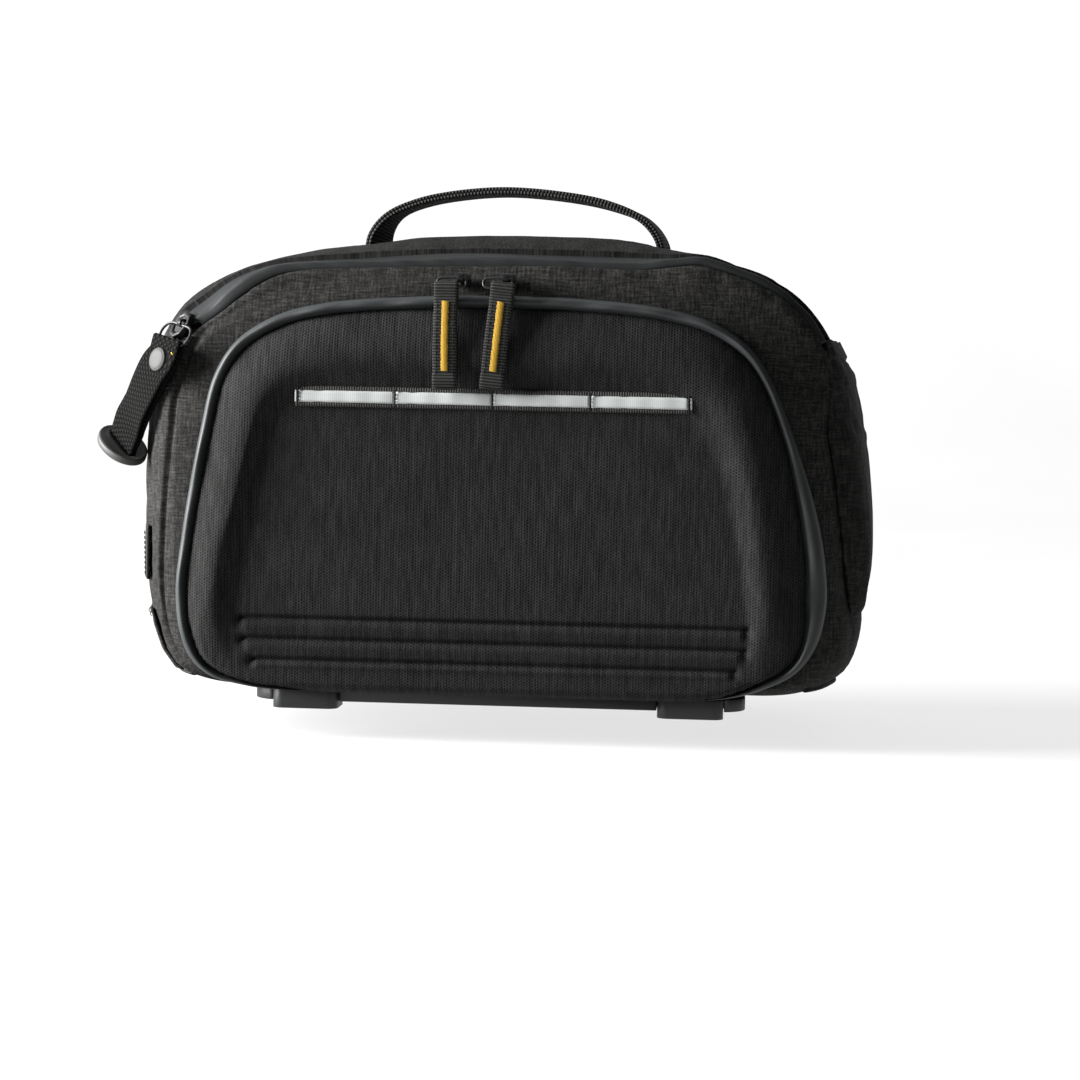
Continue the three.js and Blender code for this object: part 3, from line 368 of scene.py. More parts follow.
def make_camera():
    data = bpy.data.cameras.new("camera")
    camera = bpy.data.objects.new("camera", data)
    bpy.context.scene.collection.objects.link(camera)
    yaw, pitch, roll = (math.radians(a) for a in CAMERA_TURN)
    ahead = Vector((-math.sin(yaw) * math.cos(pitch), math.cos(yaw) * math.cos(pitch), -math.sin(pitch)))
    right = ahead.cross(Vector((0, 0, 1))).normalized()
    up = right.cross(ahead)
    leaned = right * math.cos(roll) + up * math.sin(roll)
    upright = up * math.cos(roll) - right * math.sin(roll)
    turn = Matrix((leaned, upright, -ahead)).transposed().to_4x4()
    place = Vector(np.array(CAMERA_PLACE) * MM + SHIFT)
    camera.matrix_world = Matrix.Translation(place) @ turn
    data.sensor_width = SENSOR
    data.lens = PHOTO_FOCAL / PHOTO_WIDTH * SENSOR
    data.clip_start, data.clip_end = 0.05, 30
    bpy.context.scene.camera = camera


make_camera()


# Materials

class Paint:
    """A node material, built one node at a time."""

    def __init__(self, name, roughness, specular, metallic=0.0):
        self.material = bpy.data.materials.new(name)
        self.material.use_nodes = True
        self.nodes = self.material.node_tree.nodes
        self.links = self.material.node_tree.links
        self.shader = self.nodes["Principled BSDF"]
        self.shader.inputs["Roughness"].default_value = roughness
        self.shader.inputs["Metallic"].default_value = metallic
        self.shader.inputs["Specular IOR Level"].default_value = specular

    def node(self, kind, inputs=None, **settings):
        node = self.nodes.new(kind)
        for key, value in settings.items():
            setattr(node, key, value)
        for key, value in (inputs or {}).items():
            if isinstance(value, bpy.types.NodeSocket):
                self.links.new(value, node.inputs[key])
            else:
                node.inputs[key].default_value = value
        return node

    def place(self, weave=True, scale=(1, 1, 1)):
        """Coordinates in metres: along the weave, or of the space round the bag."""
        if weave:
            source = self.node("ShaderNodeUVMap", uv_map="weave").outputs["UV"]
        else:
            source = self.node("ShaderNodeTexCoord").outputs["Object"]
        return self.node("ShaderNodeMapping", {"Vector": source, "Scale": scale}).outputs["Vector"]

    def noise(self, vector, scale, detail, roughness=0.5):
        return self.node("ShaderNodeTexNoise", {
            "Vector": vector, "Scale": scale, "Detail": detail, "Roughness": roughness,
        }).outputs["Fac"]

    def grain(self, across, up, detail=1.0, roughness=0.5):
        """Noise along the weave, from its numbers of spots in a metre."""
        return self.noise(self.place(scale=(across, up, 1)), 1, detail, roughness)

    def cloud(self, scale, detail):
        """Noise of the space round the bag."""
        return self.noise(self.place(weave=False), scale, detail)

    def wave(self, pitch, direction="X", distortion=0.0):
        """Bands along the weave with a pitch in metres."""
        return self.node("ShaderNodeTexWave", {
            "Vector": self.place(), "Scale": 0.314159 / pitch, "Distortion": distortion,
            "Detail": 0.0, "Detail Scale": 1.0,
        }, wave_type="BANDS", bands_direction=direction, wave_profile="SIN").outputs["Fac"]

    def lattice(self, across, up, more):
        """Dots in a staggered lattice with two spacings, from crossed waves, and a level over them."""
        waves = [
            self.node("ShaderNodeTexWave", {
                "Vector": self.place(scale=(1 / across, way / up, 1)), "Scale": 0.628318,
                "Distortion": 0.0, "Detail": 0.0,
            }, wave_type="BANDS", bands_direction="DIAGONAL").outputs["Fac"] for way in (1, -1)
        ]
        return self.math("ADD", self.math("MULTIPLY", *waves), more)

    def math(self, operation, a, b):
        return self.node("ShaderNodeMath", {0: a, 1: b}, operation=operation).outputs[0]

    def mix(self, share, a, b):
        return self.math("ADD", self.math("MULTIPLY", a, 1 - share), self.math("MULTIPLY", b, share))

    def colour(self, fac, stops):
        ramp = self.node("ShaderNodeValToRGB", {"Fac": fac})
        elements = ramp.color_ramp.elements
        while len(elements) < len(stops):
            elements.new(0.5)
        for element, (at, value) in zip(elements, stops):
            element.position = at
            element.color = (*value, 1)
        self.links.new(ramp.outputs["Color"], self.shader.inputs["Base Color"])

    def rough(self, fac, low, high):
        out = self.math("ADD", self.math("MULTIPLY", fac, high - low), low)
        self.links.new(out, self.shader.inputs["Roughness"])

    def bump(self, height, distance, strength):
        inputs = {"Height": height, "Distance": distance, "Strength": strength}
        out = self.node("ShaderNodeBump", inputs).outputs["Normal"]
        self.links.new(out, self.shader.inputs["Normal"])


def tones(value, tint, *stops):
    """Stops of a ramp: places, and shares of one value."""
    return [(at, tuple(value * share * t for t in tint)) for at, share in stops]


def ripstop_paint(name, value):
    """Fine uneven cross-hatch of threads."""
    p = Paint(name, 0.88, 0.08)
    threads = p.mix(0.5, p.grain(130, 880), p.grain(900, 110))
    weave = p.mix(0.3, threads, p.grain(1000, 1000))
    cloud = p.cloud(26, 3.0)
    p.colour(p.mix(0.1, weave, cloud), tones(value, (1.03, 1.0, 0.95), (0.39, 0.3), (0.5, 0.95), (0.61, 2.1)))
    p.bump(weave, 0.0005, 0.8)
    p.rough(cloud, 0.8, 0.93)
    return p.material


def knit_paint(name, value):
    """Columns of knit dots over moulded foam, some lighter and some darker."""
    p = Paint(name, 0.9, 0.08)
    dots = p.mix(0.45, p.lattice(0.0025, 0.0013, 0.22), p.wave(0.00125))
    knit = p.mix(0.4, p.mix(0.4, p.grain(460, 65, 2.0, 0.6), p.grain(1150, 900)), dots)
    cloud = p.cloud(22, 3.0)
    p.colour(p.mix(0.1, knit, cloud), tones(value, (1.0, 0.985, 0.975), (0.36, 0.3), (0.49, 0.95), (0.64, 2.2)))
    p.bump(knit, 0.0006, 0.85)
    p.rough(cloud, 0.84, 0.95)
    return p.material


def coated_paint(name, value, gloss=0.22):
    """Smooth film over a tape, with faint waves and scuffs."""
    p = Paint(name, 0.5, gloss)
    cloud, fine = p.cloud(45, 4.0), p.cloud(900, 2.0)
    shade = p.mix(0.25, cloud, fine)
    p.colour(shade, tones(value, (0.93, 1.02, 1.05), (0.3, 0.82), (0.55, 1), (0.75, 1.2)))
    p.rough(shade, 0.44, 0.62)
    p.bump(p.mix(0.2, cloud, fine), 0.0006, 0.35)
    return p.material


def webbing_paint(name, value, rib, cross=0.0, direction="Y", depth=0.0005, gloss=0.12):
    """Woven webbing: ribs, with finer threads across them, or the knots of a basket weave."""
    p = Paint(name, 0.85, gloss)
    grain = p.grain(1500, 1500, 2.0)
    if cross:
        weave = p.lattice(cross, rib, 0.27)
    else:
        threads = p.wave(rib * 0.42, "X" if direction == "Y" else "Y")
        weave = p.mix(0.18, p.wave(rib, direction), threads)
    shade = p.mix(0.25, weave, grain)
    p.colour(shade, tones(value, (1.0, 1.0, 0.95), (0.22, 0.18), (0.48, 0.9), (0.75, 2.4)))
    p.bump(shade, depth, 0.9)
    p.rough(grain, 0.76, 0.92)
    return p.material


def thread_paint(name, value, tint, pitch=0.0008, gloss=0.12):
    p = Paint(name, 0.55, gloss)
    grain = p.grain(2500, 900, 2.0)
    shade = p.mix(0.4, p.wave(pitch, "Y", 0.6), grain)
    p.colour(shade, tones(value, tint, (0.15, 0.4), (0.5, 1), (0.85, 1.4)))
    p.bump(shade, 0.00015, 0.6)
    p.rough(grain, 0.48, 0.66)
    return p.material


def ribbon_paint(name):
    """Silver reflective ribbon with fine ribs."""
    p = Paint(name, 0.5, 0.4)
    grain = p.grain(1700, 1700, 2.0)
    ribs = p.mix(0.4, p.wave(0.0009), grain)
    p.colour(p.mix(0.35, ribs, p.cloud(60, 2.0)), [
        (0.25, (0.30, 0.312, 0.306)), (0.5, (0.36, 0.375, 0.369)), (0.8, (0.42, 0.435, 0.43)),
    ])
    p.bump(ribs, 0.0001, 0.5)
    p.rough(grain, 0.36, 0.55)
    return p.material


def metal_paint(name, value, roughness, metallic, gloss, tint=(1, 1, 1.04)):
    p = Paint(name, roughness, gloss, metallic)
    fine = p.cloud(1400, 2.0)
    shade = p.mix(0.4, p.cloud(160, 4.0), fine)
    p.colour(shade, tones(value, tint, (0.3, 0.8), (0.7, 1.2)))
    p.rough(shade, roughness * 0.75, roughness * 1.35)
    p.bump(fine, 0.00005, 0.3)
    return p.material


def moulding_paint(name, value, tint=(1, 1, 0.96), roughness=0.6):
    """Moulded rubber or plastic with a fine grain."""
    p = Paint(name, roughness, 0.4)
    grain = p.cloud(1500, 3.0)
    shade = p.mix(0.4, p.cloud(50, 3.0), grain)
    p.colour(shade, tones(value, tint, (0.3, 0.8), (0.5, 1), (0.7, 1.25)))
    p.rough(shade, roughness * 0.85, min(roughness * 1.2, 0.95))
    p.bump(grain, 0.0001, 0.5)
    return p.material


RIPSTOP = ripstop_paint("ripstop_cloth", 0.0125)
# A darker copy of the ripstop, for the rear end's lower hem and the end pocket
RIPSTOP_DARK = ripstop_paint("ripstop_cloth_darker", 0.0105)
# A darker copy of the ripstop for the crown: painted shade on the top of the bag
CROWN_SHADE_CLOTH = ripstop_paint("ripstop_cloth_crown_painted_shade", 0.0066)
KNIT = knit_paint("moulded_knit", 0.0105)
COATED = coated_paint("coated_tape", 0.023)
ZIP_FILM = coated_paint("zip_tape_film", 0.013, 0.14)
HANDLE_WEB = webbing_paint("handle_webbing", 0.017, 0.0016, depth=0.0006)
TAB_WEB = webbing_paint("tab_webbing", 0.0135, 0.0013)
DAISY_WEB = webbing_paint("daisy_webbing_paint", 0.028, 0.00112, direction="X", depth=0.0007)
LOOP_WEB = webbing_paint("loop_webbing", 0.013, 0.0015)
STRAP_WEB = webbing_paint("strap_webbing", 0.0042, 0.0026, cross=0.0038, depth=0.0014, gloss=0.04)
BINDING_WEB = webbing_paint("binding_webbing", 0.014, 0.0012)
YELLOW = thread_paint("yellow_thread", 0.36, (1, 0.6, 0.06), 0.0006, 0.2)
DARK_THREAD = thread_paint("dark_thread", 0.006, (1, 1, 1))
GREY_THREAD = thread_paint("grey_thread", 0.02, (1, 1, 0.97))
RIBBON = ribbon_paint("reflective_ribbon")
BLACK_METAL = metal_paint("black_metal", 0.005, 0.42, 0.05, 0.16)
WIRE_METAL = metal_paint("wire_metal", 0.018, 0.4, 0.4, 0.4)
SNAP_METAL = metal_paint("snap_metal", 0.034, 0.62, 0.05, 0.25, (1, 1, 0.97))
GRIP = moulding_paint("grip_rubber", 0.026)
BASE = moulding_paint("base_plastic", 0.009, (0.95, 1.05, 1.0), 0.5)


# Main compartment

LOOP = outline(BODY_OUTLINE, 264)


def body_form(across, up, front):
    """Half length, floor and top of the body's section at a share of its half width."""
    a = np.abs(np.asarray(across, float))
    # The upper corners are squarer than the middle, the front one down to the pocket's hem
    low, high = np.where(front, 0.6, 0.87), np.where(front, 0.78, 0.94)
    t = np.clip((up - low) / (high - low), 0, 1)
    corner = t * t * (3 - 2 * t) * (1 - smooth(up, np.where(front, 0.95, 0.935), 0.9995)) * (1 - smooth(a, 0.88, 1))
    keep = 1 - 0.5 * corner
    high_keep = 1 - np.where(front, 0.78, 0.5) * corner
    inset = monotone(BODY_SECTIONS, 1, a)
    drop = monotone(BODY_SECTIONS, 2, a)
    half = BODY_LENGTH / 2 - inset * keep * SIDE_INSET
    return half, BODY_FLOOR + inset * FLOOR_RISE, BODY_TOP - drop * high_keep * CROWN_DROP


def body_points(across):
    """The body's surface: one row of points round its outline for each share of its half width."""
    y = np.asarray(across, float)[:, None] * BODY_WIDTH / 2
    # Rows beside the zip drift with it: wider at the rear end, further back at the front one
    x, up = LOOP[None, :, 0], smooth(LOOP[None, :, 1], 0.62, 0.8)
    high = 1.2 * smooth(x, 0.35, 0.85)
    low = high - 3.2 * smooth(-x, 0.55, 0.85)
    places = [-BODY_WIDTH / 2, TAPE_LOW, TAPE_HIGH, -25]
    y = y + up * (low * np.interp(y, places, [0, 1, 0, 0]) + high * np.interp(y, places, [0, 0, 1, 0]))
    half, floor, top = body_form(y / (BODY_WIDTH / 2), LOOP[None, :, 1], LOOP[None, :, 0] > 0)
    return np.stack([x * half, y, floor + (top - floor) * LOOP[None, :, 1]], 2)


def end_x(y, z, end):
    """Where the body's end is, -1 the rear and 1 the front, at a place across it and a height."""
    rows = sorted({(r[0], r[1] if end < 0 else r[2]) for r in BODY_OUTLINE[1:]})
    a = np.clip(np.abs(np.asarray(y, float)) / (BODY_WIDTH / 2), 0, 1)
    z = np.asarray(z, float)
    up = (z - BODY_FLOOR) / (BODY_TOP - BODY_FLOOR)
    for _ in range(12):
        half, floor, top = body_form(a, up, end > 0)
        up = np.clip(0.5 * up + 0.5 * (z - floor) / (top - floor), 0, 1)
    share = np.interp(up, [r[0] for r in rows], [r[1] for r in rows])
    return end * share * half


def simulate(points, faces, pins, pressure, shrink, cap, frames=18, stiffness=18.0):
    """Cloth that swells and wrinkles between its pinned points; returns where the points end up."""
    mesh = bpy.data.meshes.new("cloth_work")
    mesh.from_pydata((points * MM).tolist(), [], faces)
    mesh.update()
    work = bpy.data.objects.new("cloth_work", mesh)
    bpy.context.scene.collection.objects.link(work)
    group = work.vertex_groups.new(name="pins")
    for level in np.unique(np.round(pins, 2)):
        if level > 0:
            chosen = np.nonzero(np.round(pins, 2) == level)[0].tolist()
            group.add(chosen, float(level), "REPLACE")
    cloth = work.modifiers.new("cloth", "CLOTH")
    cloth.settings.quality = 5
    cloth.settings.mass = 0.25
    cloth.settings.tension_stiffness = stiffness
    cloth.settings.compression_stiffness = stiffness
    cloth.settings.shear_stiffness = 6
    cloth.settings.bending_stiffness = 0.4
    cloth.settings.air_damping = 4
    cloth.settings.use_pressure = pressure != 0
    cloth.settings.uniform_pressure_force = pressure
    cloth.settings.shrink_min = shrink
    cloth.settings.vertex_group_mass = "pins"
    cloth.settings.effector_weights.gravity = 0
    cloth.collision_settings.use_collision = False
    cloth.point_cache.frame_start, cloth.point_cache.frame_end = 1, frames
    scene = bpy.context.scene
    for number in range(1, frames + 1):
        scene.frame_set(number)
    graph = bpy.context.evaluated_depsgraph_get()
    out = np.empty(len(points) * 3)
    work.evaluated_get(graph).data.vertices.foreach_get("co", out)
    moved = out.reshape(-1, 3) / MM - points
    scene.frame_set(1)
    bpy.data.objects.remove(work)
    bpy.data.meshes.remove(mesh)
    reach = np.linalg.norm(moved, axis=1, keepdims=True)
    return points + moved * np.minimum(1, cap / np.maximum(reach, 1e-6))


def seam_line(z):
    """How far across the bag the seam of the rear end is at a height."""
    return np.interp(z, [20, 60, 95, 130, 150, 168, 178], [80.5, 82.2, 84, 86.4, 87, 86, 84])


def make_body():
    half = BODY_WIDTH / 2
    across = np.concatenate([
        np.linspace(-half, TAPE_LOW - 0.6, 17), [TAPE_LOW - 0.3, TAPE_LOW],
        np.linspace(TAPE_LOW, TAPE_HIGH, 10)[1:-1], [TAPE_HIGH, TAPE_HIGH + 0.3, TAPE_HIGH + 0.7],
        np.linspace(TAPE_HIGH + 1.2, half - 8, 52), np.linspace(half - 8, half, 14)[1:],
    ]) / half
    grid = body_points(across)
    rows, columns = grid.shape[:2]
    faces = grid_faces(rows, columns, close_columns=True)
    points = grid.reshape(-1, 3)
    # Both flat sides are closed under the pockets
    inner = []
    for row, y in ((0, -half), (rows - 1, half)):
        middle = np.array([0, y, (BODY_FLOOR + BODY_TOP) / 2 - 6])
        inner.append(middle + (grid[row] - middle) * 0.86)
    points = np.vstack([points, *inner])
    for k, row in enumerate((0, rows - 1)):
        first = rows * columns + k * columns
        for j in range(columns):
            n = (j + 1) % columns
            quad = (row * columns + j, row * columns + n, first + n, first + j)
            faces.append(quad[::-1] if row == 0 else quad)
    faces = [f[::-1] for f in faces]
    normals = normals_of(points, faces)
    if np.sum(normals * (points - points.mean(0))) < 0:
        faces = [f[::-1] for f in faces]
        normals = -normals
    x, y, z = points.T
    row = np.concatenate([np.repeat(across * half, columns), np.repeat([-half, half], columns)])
    near_zip = (row > TAPE_LOW - 1) & (row < TAPE_HIGH + 1) & (z > ZIP_END - 6)
    seam = (np.abs(np.abs(y) - seam_line(z)) < 1.2) & (np.abs(x) > 110)
    pins = np.where(np.abs(y) > half - 0.5, 1.0, 0.0)
    pins = np.where(near_zip | seam | (z < BODY_FLOOR + 9), 1.0, pins)
    pins = np.where((np.abs(np.abs(x) - 70) < 5) & (np.abs(y) < 13) & (z > 200), 1.0, pins)
    moved = simulate(points, faces, pins, 0.35, -0.014, 3.0)
    # The compartment's cloth over foam keeps most of its moulded shape, most of all beside the pockets
    moved = points + (moved - points) * (0.45 - 0.25 * smooth(np.abs(y), 76, 83))[:, None]
    dent = 0.3 * soft_noise(points, 70, 2) + 0.12 * soft_noise(points * [1, 1, 0.35], 22, 4)
    dent *= 1 - smooth(np.abs(y), half - 6, half)
    # The zip's bed lies low between the folded edges of the cloth
    bed = (row >= TAPE_LOW) & (row <= TAPE_HIGH) & (z > np.where(x < 0, ZIP_END + 5, ZIP_END))
    fold = 1.4 * smooth(row, TAPE_HIGH, TAPE_HIGH + 0.4) * (1 - smooth(row, TAPE_HIGH + 2, TAPE_HIGH + 4.5))
    fold += 0.7 * smooth(-row, -TAPE_LOW, -TAPE_LOW + 0.4) * (1 - smooth(-row, -TAPE_LOW + 1.6, -TAPE_LOW + 3.4))
    fold *= smooth(z, ZIP_END - 2, ZIP_END + 4)
    dent = np.where(bed, -2.0, dent + fold)
    # Corner seams run on from the zip down the rear end, and below the tape down the front one
    down = 1 - smooth(z, ZIP_END - 2, ZIP_END + 6)
    for side in (-1, 1):
        gap = side * y - seam_line(z)
        crease = 1.6 * np.exp(-(gap / 0.75) ** 2) - 0.9 * smooth(-gap, 0.3, 1.6) * (1 - smooth(-gap, 2.5, 7))
        dent -= crease * down * (x < -90)
        gap = side * y - np.interp(z, [14, 30, 48], [66, 65, 63])
        dent -= 1.1 * np.exp(-(gap / 0.8) ** 2) * (x > 120) * (1 - smooth(z, 44, 48))
    # Soft folds of the rear end's cloth
    rear = smooth(-x, 120, 150)
    for at, wide, deep, low, high in REAR_FOLDS:
        dent += deep * rear * np.exp(-((y - at + 0.08 * (z - 100)) / wide) ** 2) \
            * smooth(z, low - 15, low + 20) * (1 - smooth(z, high - 20, high + 15))
    # Puckers of the gusset beside the zip
    for px, py, pz, lean, long, deep in PUCKERS:
        u = (x - px) + lean * (y - py)
        v = np.sqrt((y - py) ** 2 + (z - pz) ** 2)
        dent -= deep * np.exp(-(u / 1.6) ** 2 - (v / long) ** 2)
        dent += 0.6 * deep * np.exp(-((u - 3.2) / 2.4) ** 2 - (v / long) ** 2)
    moved = moved + normals * dent[:, None]
    piece = mesh_piece(
        "main_body", moved, faces, RIPSTOP,
        ["body_shell", "body_wall_near", "body_wall_far"], points[:, :2] * MM,
    )
    # The sides, the ends and the crown are each cut with the threads upright
    slopes = np.abs([normals[list(f)].mean(0) for f in faces])
    heads = np.array([points[list(f)].mean(0) for f in faces])
    ends = (slopes[:, 0] > slopes[:, 2]) & (np.abs(heads[:, 1]) < 80) & (slopes[:, 0] > slopes[:, 1])
    first, second = np.where(ends, 1, 0), np.where((np.abs(heads[:, 1]) > 66) | ends, 2, 1)
    places = np.array([
        (points[k][a], points[k][b] * (1.25 if b == 2 else 1))
        for f, a, b in zip(faces, first, second) for k in f
    ]) * MM
    piece.data.uv_layers["weave"].data.foreach_set("uv", places.astype(np.float32).ravel())
    # The crown's panel takes a darker copy of the same ripstop: painted shade on the top of the bag
    piece.data.materials.append(CROWN_SHADE_CLOTH)
    crown = (np.array([row[list(f)].mean() for f in faces]) > TAPE_HIGH) & (heads[:, 1] < -TAPE_HIGH) & (heads[:, 2] > ZIP_END + 6)
    piece.data.polygons.foreach_set("material_index", crown.astype(int))


# Folds of the rear end: place across, half width, height, and where they start and end
REAR_FOLDS = [
    (-75, 4, 0.6, 60, 160), (-64, 5, -0.7, 50, 150), (-52, 6, 0.6, 70, 165), (-34, 7, -0.8, 90, 170),
    (-10, 9, 0.8, 85, 150), (30, 8, -0.9, 90, 160),
]
# Puckers: place, lean, reach and depth
PUCKERS = [
    (97, -83.5, 200, 0.5, 4, 1.1), (121, -82.5, 192, 0.9, 5, 1.4), (136, -82, 176, -0.5, 6, 0.9),
    (-118, -84, 190, -0.5, 5, 0.6), (147, -84, 135, -1.0, 9, 0.8),
]


def body_line(y, low):
    """Points and outward normals along the body at one place across it, above a height."""
    grid = body_points(np.array([y - 0.5, y, y + 0.5]) / (BODY_WIDTH / 2))
    way = unit(np.roll(grid[1], -1, 0) - np.roll(grid[1], 1, 0))
    slope = unit(grid[2] - grid[0])
    normal = np.cross(slope, way)
    centre = np.array([0, y, 110])
    normal *= np.sign(np.sum(normal * (grid[1] - centre), 1, keepdims=True))
    keep = grid[1][:, 2] > low
    order = np.argsort(grid[1][keep][:, 0])
    return grid[1][keep][order], unit(normal[keep][order])


def make_main_zip():
    """The coated tape of the main zip, flat, with a puffed welt along its lower edge."""
    count = 21
    rows, normals = [], []
    for k in range(count):
        y = TAPE_LOW + (TAPE_HIGH - TAPE_LOW) * k / (count - 1)
        line, normal = body_line(y, ZIP_END)
        keep = (line[:, 0] > 0) | (line[:, 2] > ZIP_END + 5)
        both = spaced(catmull(np.hstack([line, normal])[keep]), 260)
        rows.append(both[:, :3])
        normals.append(unit(both[:, 3:]))
    grid = np.array(rows)
    normal = np.array(normals)
    share = np.linspace(0, 1, count)[:, None]
    length = np.linspace(0, 1, 260)[None, :]
    # The welt lies beside the slider's track, which opens towards the rear end
    welt = np.exp(-((share - 0.2) / 0.11) ** 2)
    wave = 0.16 * np.sin(length * 61 + 2 * np.sin(length * 19)) + 0.1 * np.sin(length * 133)
    lift = -0.5 + 2.1 * welt * (1 + wave * 0.5) + 0.35 * np.sin(share * 5 + length * 23) * share
    lift = lift - 0.7 * np.exp(-((share - 0.42) / 0.05) ** 2)
    lift = lift - 2.0 * smooth(share, 0.93, 0.99) - 1.6 * (share < 0.015)
    points = grid + normal * lift[:, :, None]
    uv = grid_uv(points)
    piece = mesh_piece(
        "main_zip_tape", points.reshape(-1, 3), grid_faces(count, 260), ZIP_FILM,
        ["main_zip_band"], uv,
    )
    thicken(piece, 0.8)


# Side pockets

def panel_xz(loop):
    return np.stack([loop[:, 0] * PANEL_HALF, BODY_FLOOR + loop[:, 1] * PANEL_HEIGHT], 1)


def band_width(points):
    up = (points[:, 1] - BODY_FLOOR) / PANEL_HEIGHT
    keys = [r[0] for r in BAND_ROWS]
    rear = np.interp(up, keys, [r[1] for r in BAND_ROWS])
    front = np.interp(up, keys, [r[2] for r in BAND_ROWS])
    return BAND_WIDTH * np.where(points[:, 0] < 0, rear, front)


def inset_loop(loop, distance):
    way = unit(np.roll(loop, -1, 0) - np.roll(loop, 1, 0))
    inward = np.stack([-way[:, 1], way[:, 0]], 1)
    return loop + inward * np.asarray(distance)[:, None]


BAND_LOOP = panel_xz(outline(BAND_OUTLINE, 480))
BAND_INNER = inset_loop(BAND_LOOP, band_width(BAND_LOOP))
EDGE_LOOP = inset_loop(BAND_LOOP, band_width(BAND_LOOP) + GAP)
CREST_LOOP = panel_xz(outline(CREST_OUTLINE, 480))
FOOT_LOOP = panel_xz(outline(FOOT_OUTLINE, 480))


def loop_distance(points, loop):
    """Distance to a closed loop, positive inside it."""
    best = np.full(len(points), 1e9)
    inside = np.zeros(len(points), bool)
    for a, b in zip(loop, np.roll(loop, -1, 0)):
        d = b - a
        t = np.clip(((points - a) @ d) / (d @ d), 0, 1)
        gap = points - a - t[:, None] * d
        best = np.minimum(best, np.sum(gap * gap, 1))
        crosses = (a[1] > points[:, 1]) != (b[1] > points[:, 1])
        if abs(d[1]) > 1e-9:
            at = a[0] + (points[:, 1] - a[1]) / d[1] * d[0]
            inside ^= crosses & (points[:, 0] < at)
    return np.sqrt(best) * np.where(inside, 1, -1)


def panel_height(points):
    """How far the moulded pocket stands off the body at places (x, z)."""
    edge = loop_distance(points, EDGE_LOOP)
    crest = -loop_distance(points, CREST_LOOP)
    foot = -loop_distance(points, FOOT_LOOP)
    share = np.where(edge < 0, edge / 8, edge / np.maximum(edge + np.maximum(crest, 0), 4))
    out = monotone(PANEL_PROFILE, 1, np.clip(share, -0.3, 1))
    slope = np.clip(-crest / np.maximum(-crest + np.maximum(foot, 0), 0.01), 0, 1)
    out = np.where(crest < 0, 1 - (1 - FIELD_STAND) * smooth(slope, 0, 1), out)
    low = np.minimum(out, FIELD_STAND)
    up = (points[:, 1] - BODY_FLOOR) / PANEL_HEIGHT
    rim = smooth(up, 0.03, 0.27)
    height = PANEL_STAND * (low + (out - low) * rim)
    # Below each groove the foam swells out again and eases back towards the next groove
    for k, (level, rear, front) in enumerate(GROOVES):
        below = BODY_FLOOR + level * PANEL_HEIGHT - points[:, 1]
        low_end, high_end = -rear * PANEL_HALF, front * PANEL_HALF
        line = smooth(points[:, 0], low_end, low_end + 1.2) * (1 - smooth(points[:, 0], high_end - 1.2, high_end))
        bar = smooth(points[:, 0], low_end + 1.5, low_end + 5) * (1 - smooth(points[:, 0], high_end - 5, high_end - 1.5))
        reach = 8.6 if k < 2 else 5.2
        height -= 2.0 * line * np.exp(-(below / 1.0) ** 2)
        height += 0.85 * bar * smooth(below, 0.4, 3.4) * (1 - smooth(below, 0.4 * reach, reach))
        for end, way in ((low_end, 1), (high_end, -1)):
            spot = ((points[:, 0] - end - way * 1.2) / 1.9) ** 2 + ((below - 1.0) / 2.4) ** 2
            height -= 1.5 * np.exp(-spot)
    return height


def panel_grid():
    """Places (x, z) of the pocket's mesh, closer together round the grooves and their ends."""
    def lines(low, high, coarse, fine, spots, reach):
        out, at = [low], low
        while at < high:
            near = min(abs(at - s) for s in spots)
            at += fine if near < reach else coarse
            out.append(at)
        return np.array(out)
    ends = [e * PANEL_HALF * k for _, r, f in GROOVES for e, k in ((-1, r), (1, f))]
    levels = [BODY_FLOOR + g[0] * PANEL_HEIGHT for g in GROOVES]
    xs = lines(-PANEL_HALF, PANEL_HALF, 1.7, 0.7, ends, 5)
    zs = lines(BODY_FLOOR - 2, BODY_FLOOR + PANEL_HEIGHT + 2, 1.7, 0.55, levels, 5.5)
    return xs, zs


def make_panel(name, side, node):
    xs, zs = panel_grid()
    x, z = np.meshgrid(xs, zs)
    flat = np.stack([x.ravel(), z.ravel()], 1)
    edge = loop_distance(flat, EDGE_LOOP)
    height = panel_height(flat)
    space = np.stack([flat[:, 0], np.zeros(len(flat)), flat[:, 1]], 1)
    height += 0.12 * soft_noise(space, 55, 6) * smooth(edge, 0, 12)
    # Rows outside the edge are pulled onto a line under the band
    points = np.stack([flat[:, 0], side * (PANEL_BACK + np.maximum(height, 1.2)), flat[:, 1]], 1)
    keep = (edge > -1.6).reshape(x.shape)
    faces = [
        f for f in grid_faces(*x.shape)
        if keep.ravel()[list(f)].all()
    ]
    used = np.unique(np.array(faces))
    index = -np.ones(len(points), int)
    index[used] = np.arange(len(used))
    faces = [tuple(index[k] for k in f) for f in faces]
    if side > 0:
        faces = [f[::-1] for f in faces]
    piece = mesh_piece(
        name, points[used], faces, KNIT, [node], (flat * MM)[used],
    )
    return piece


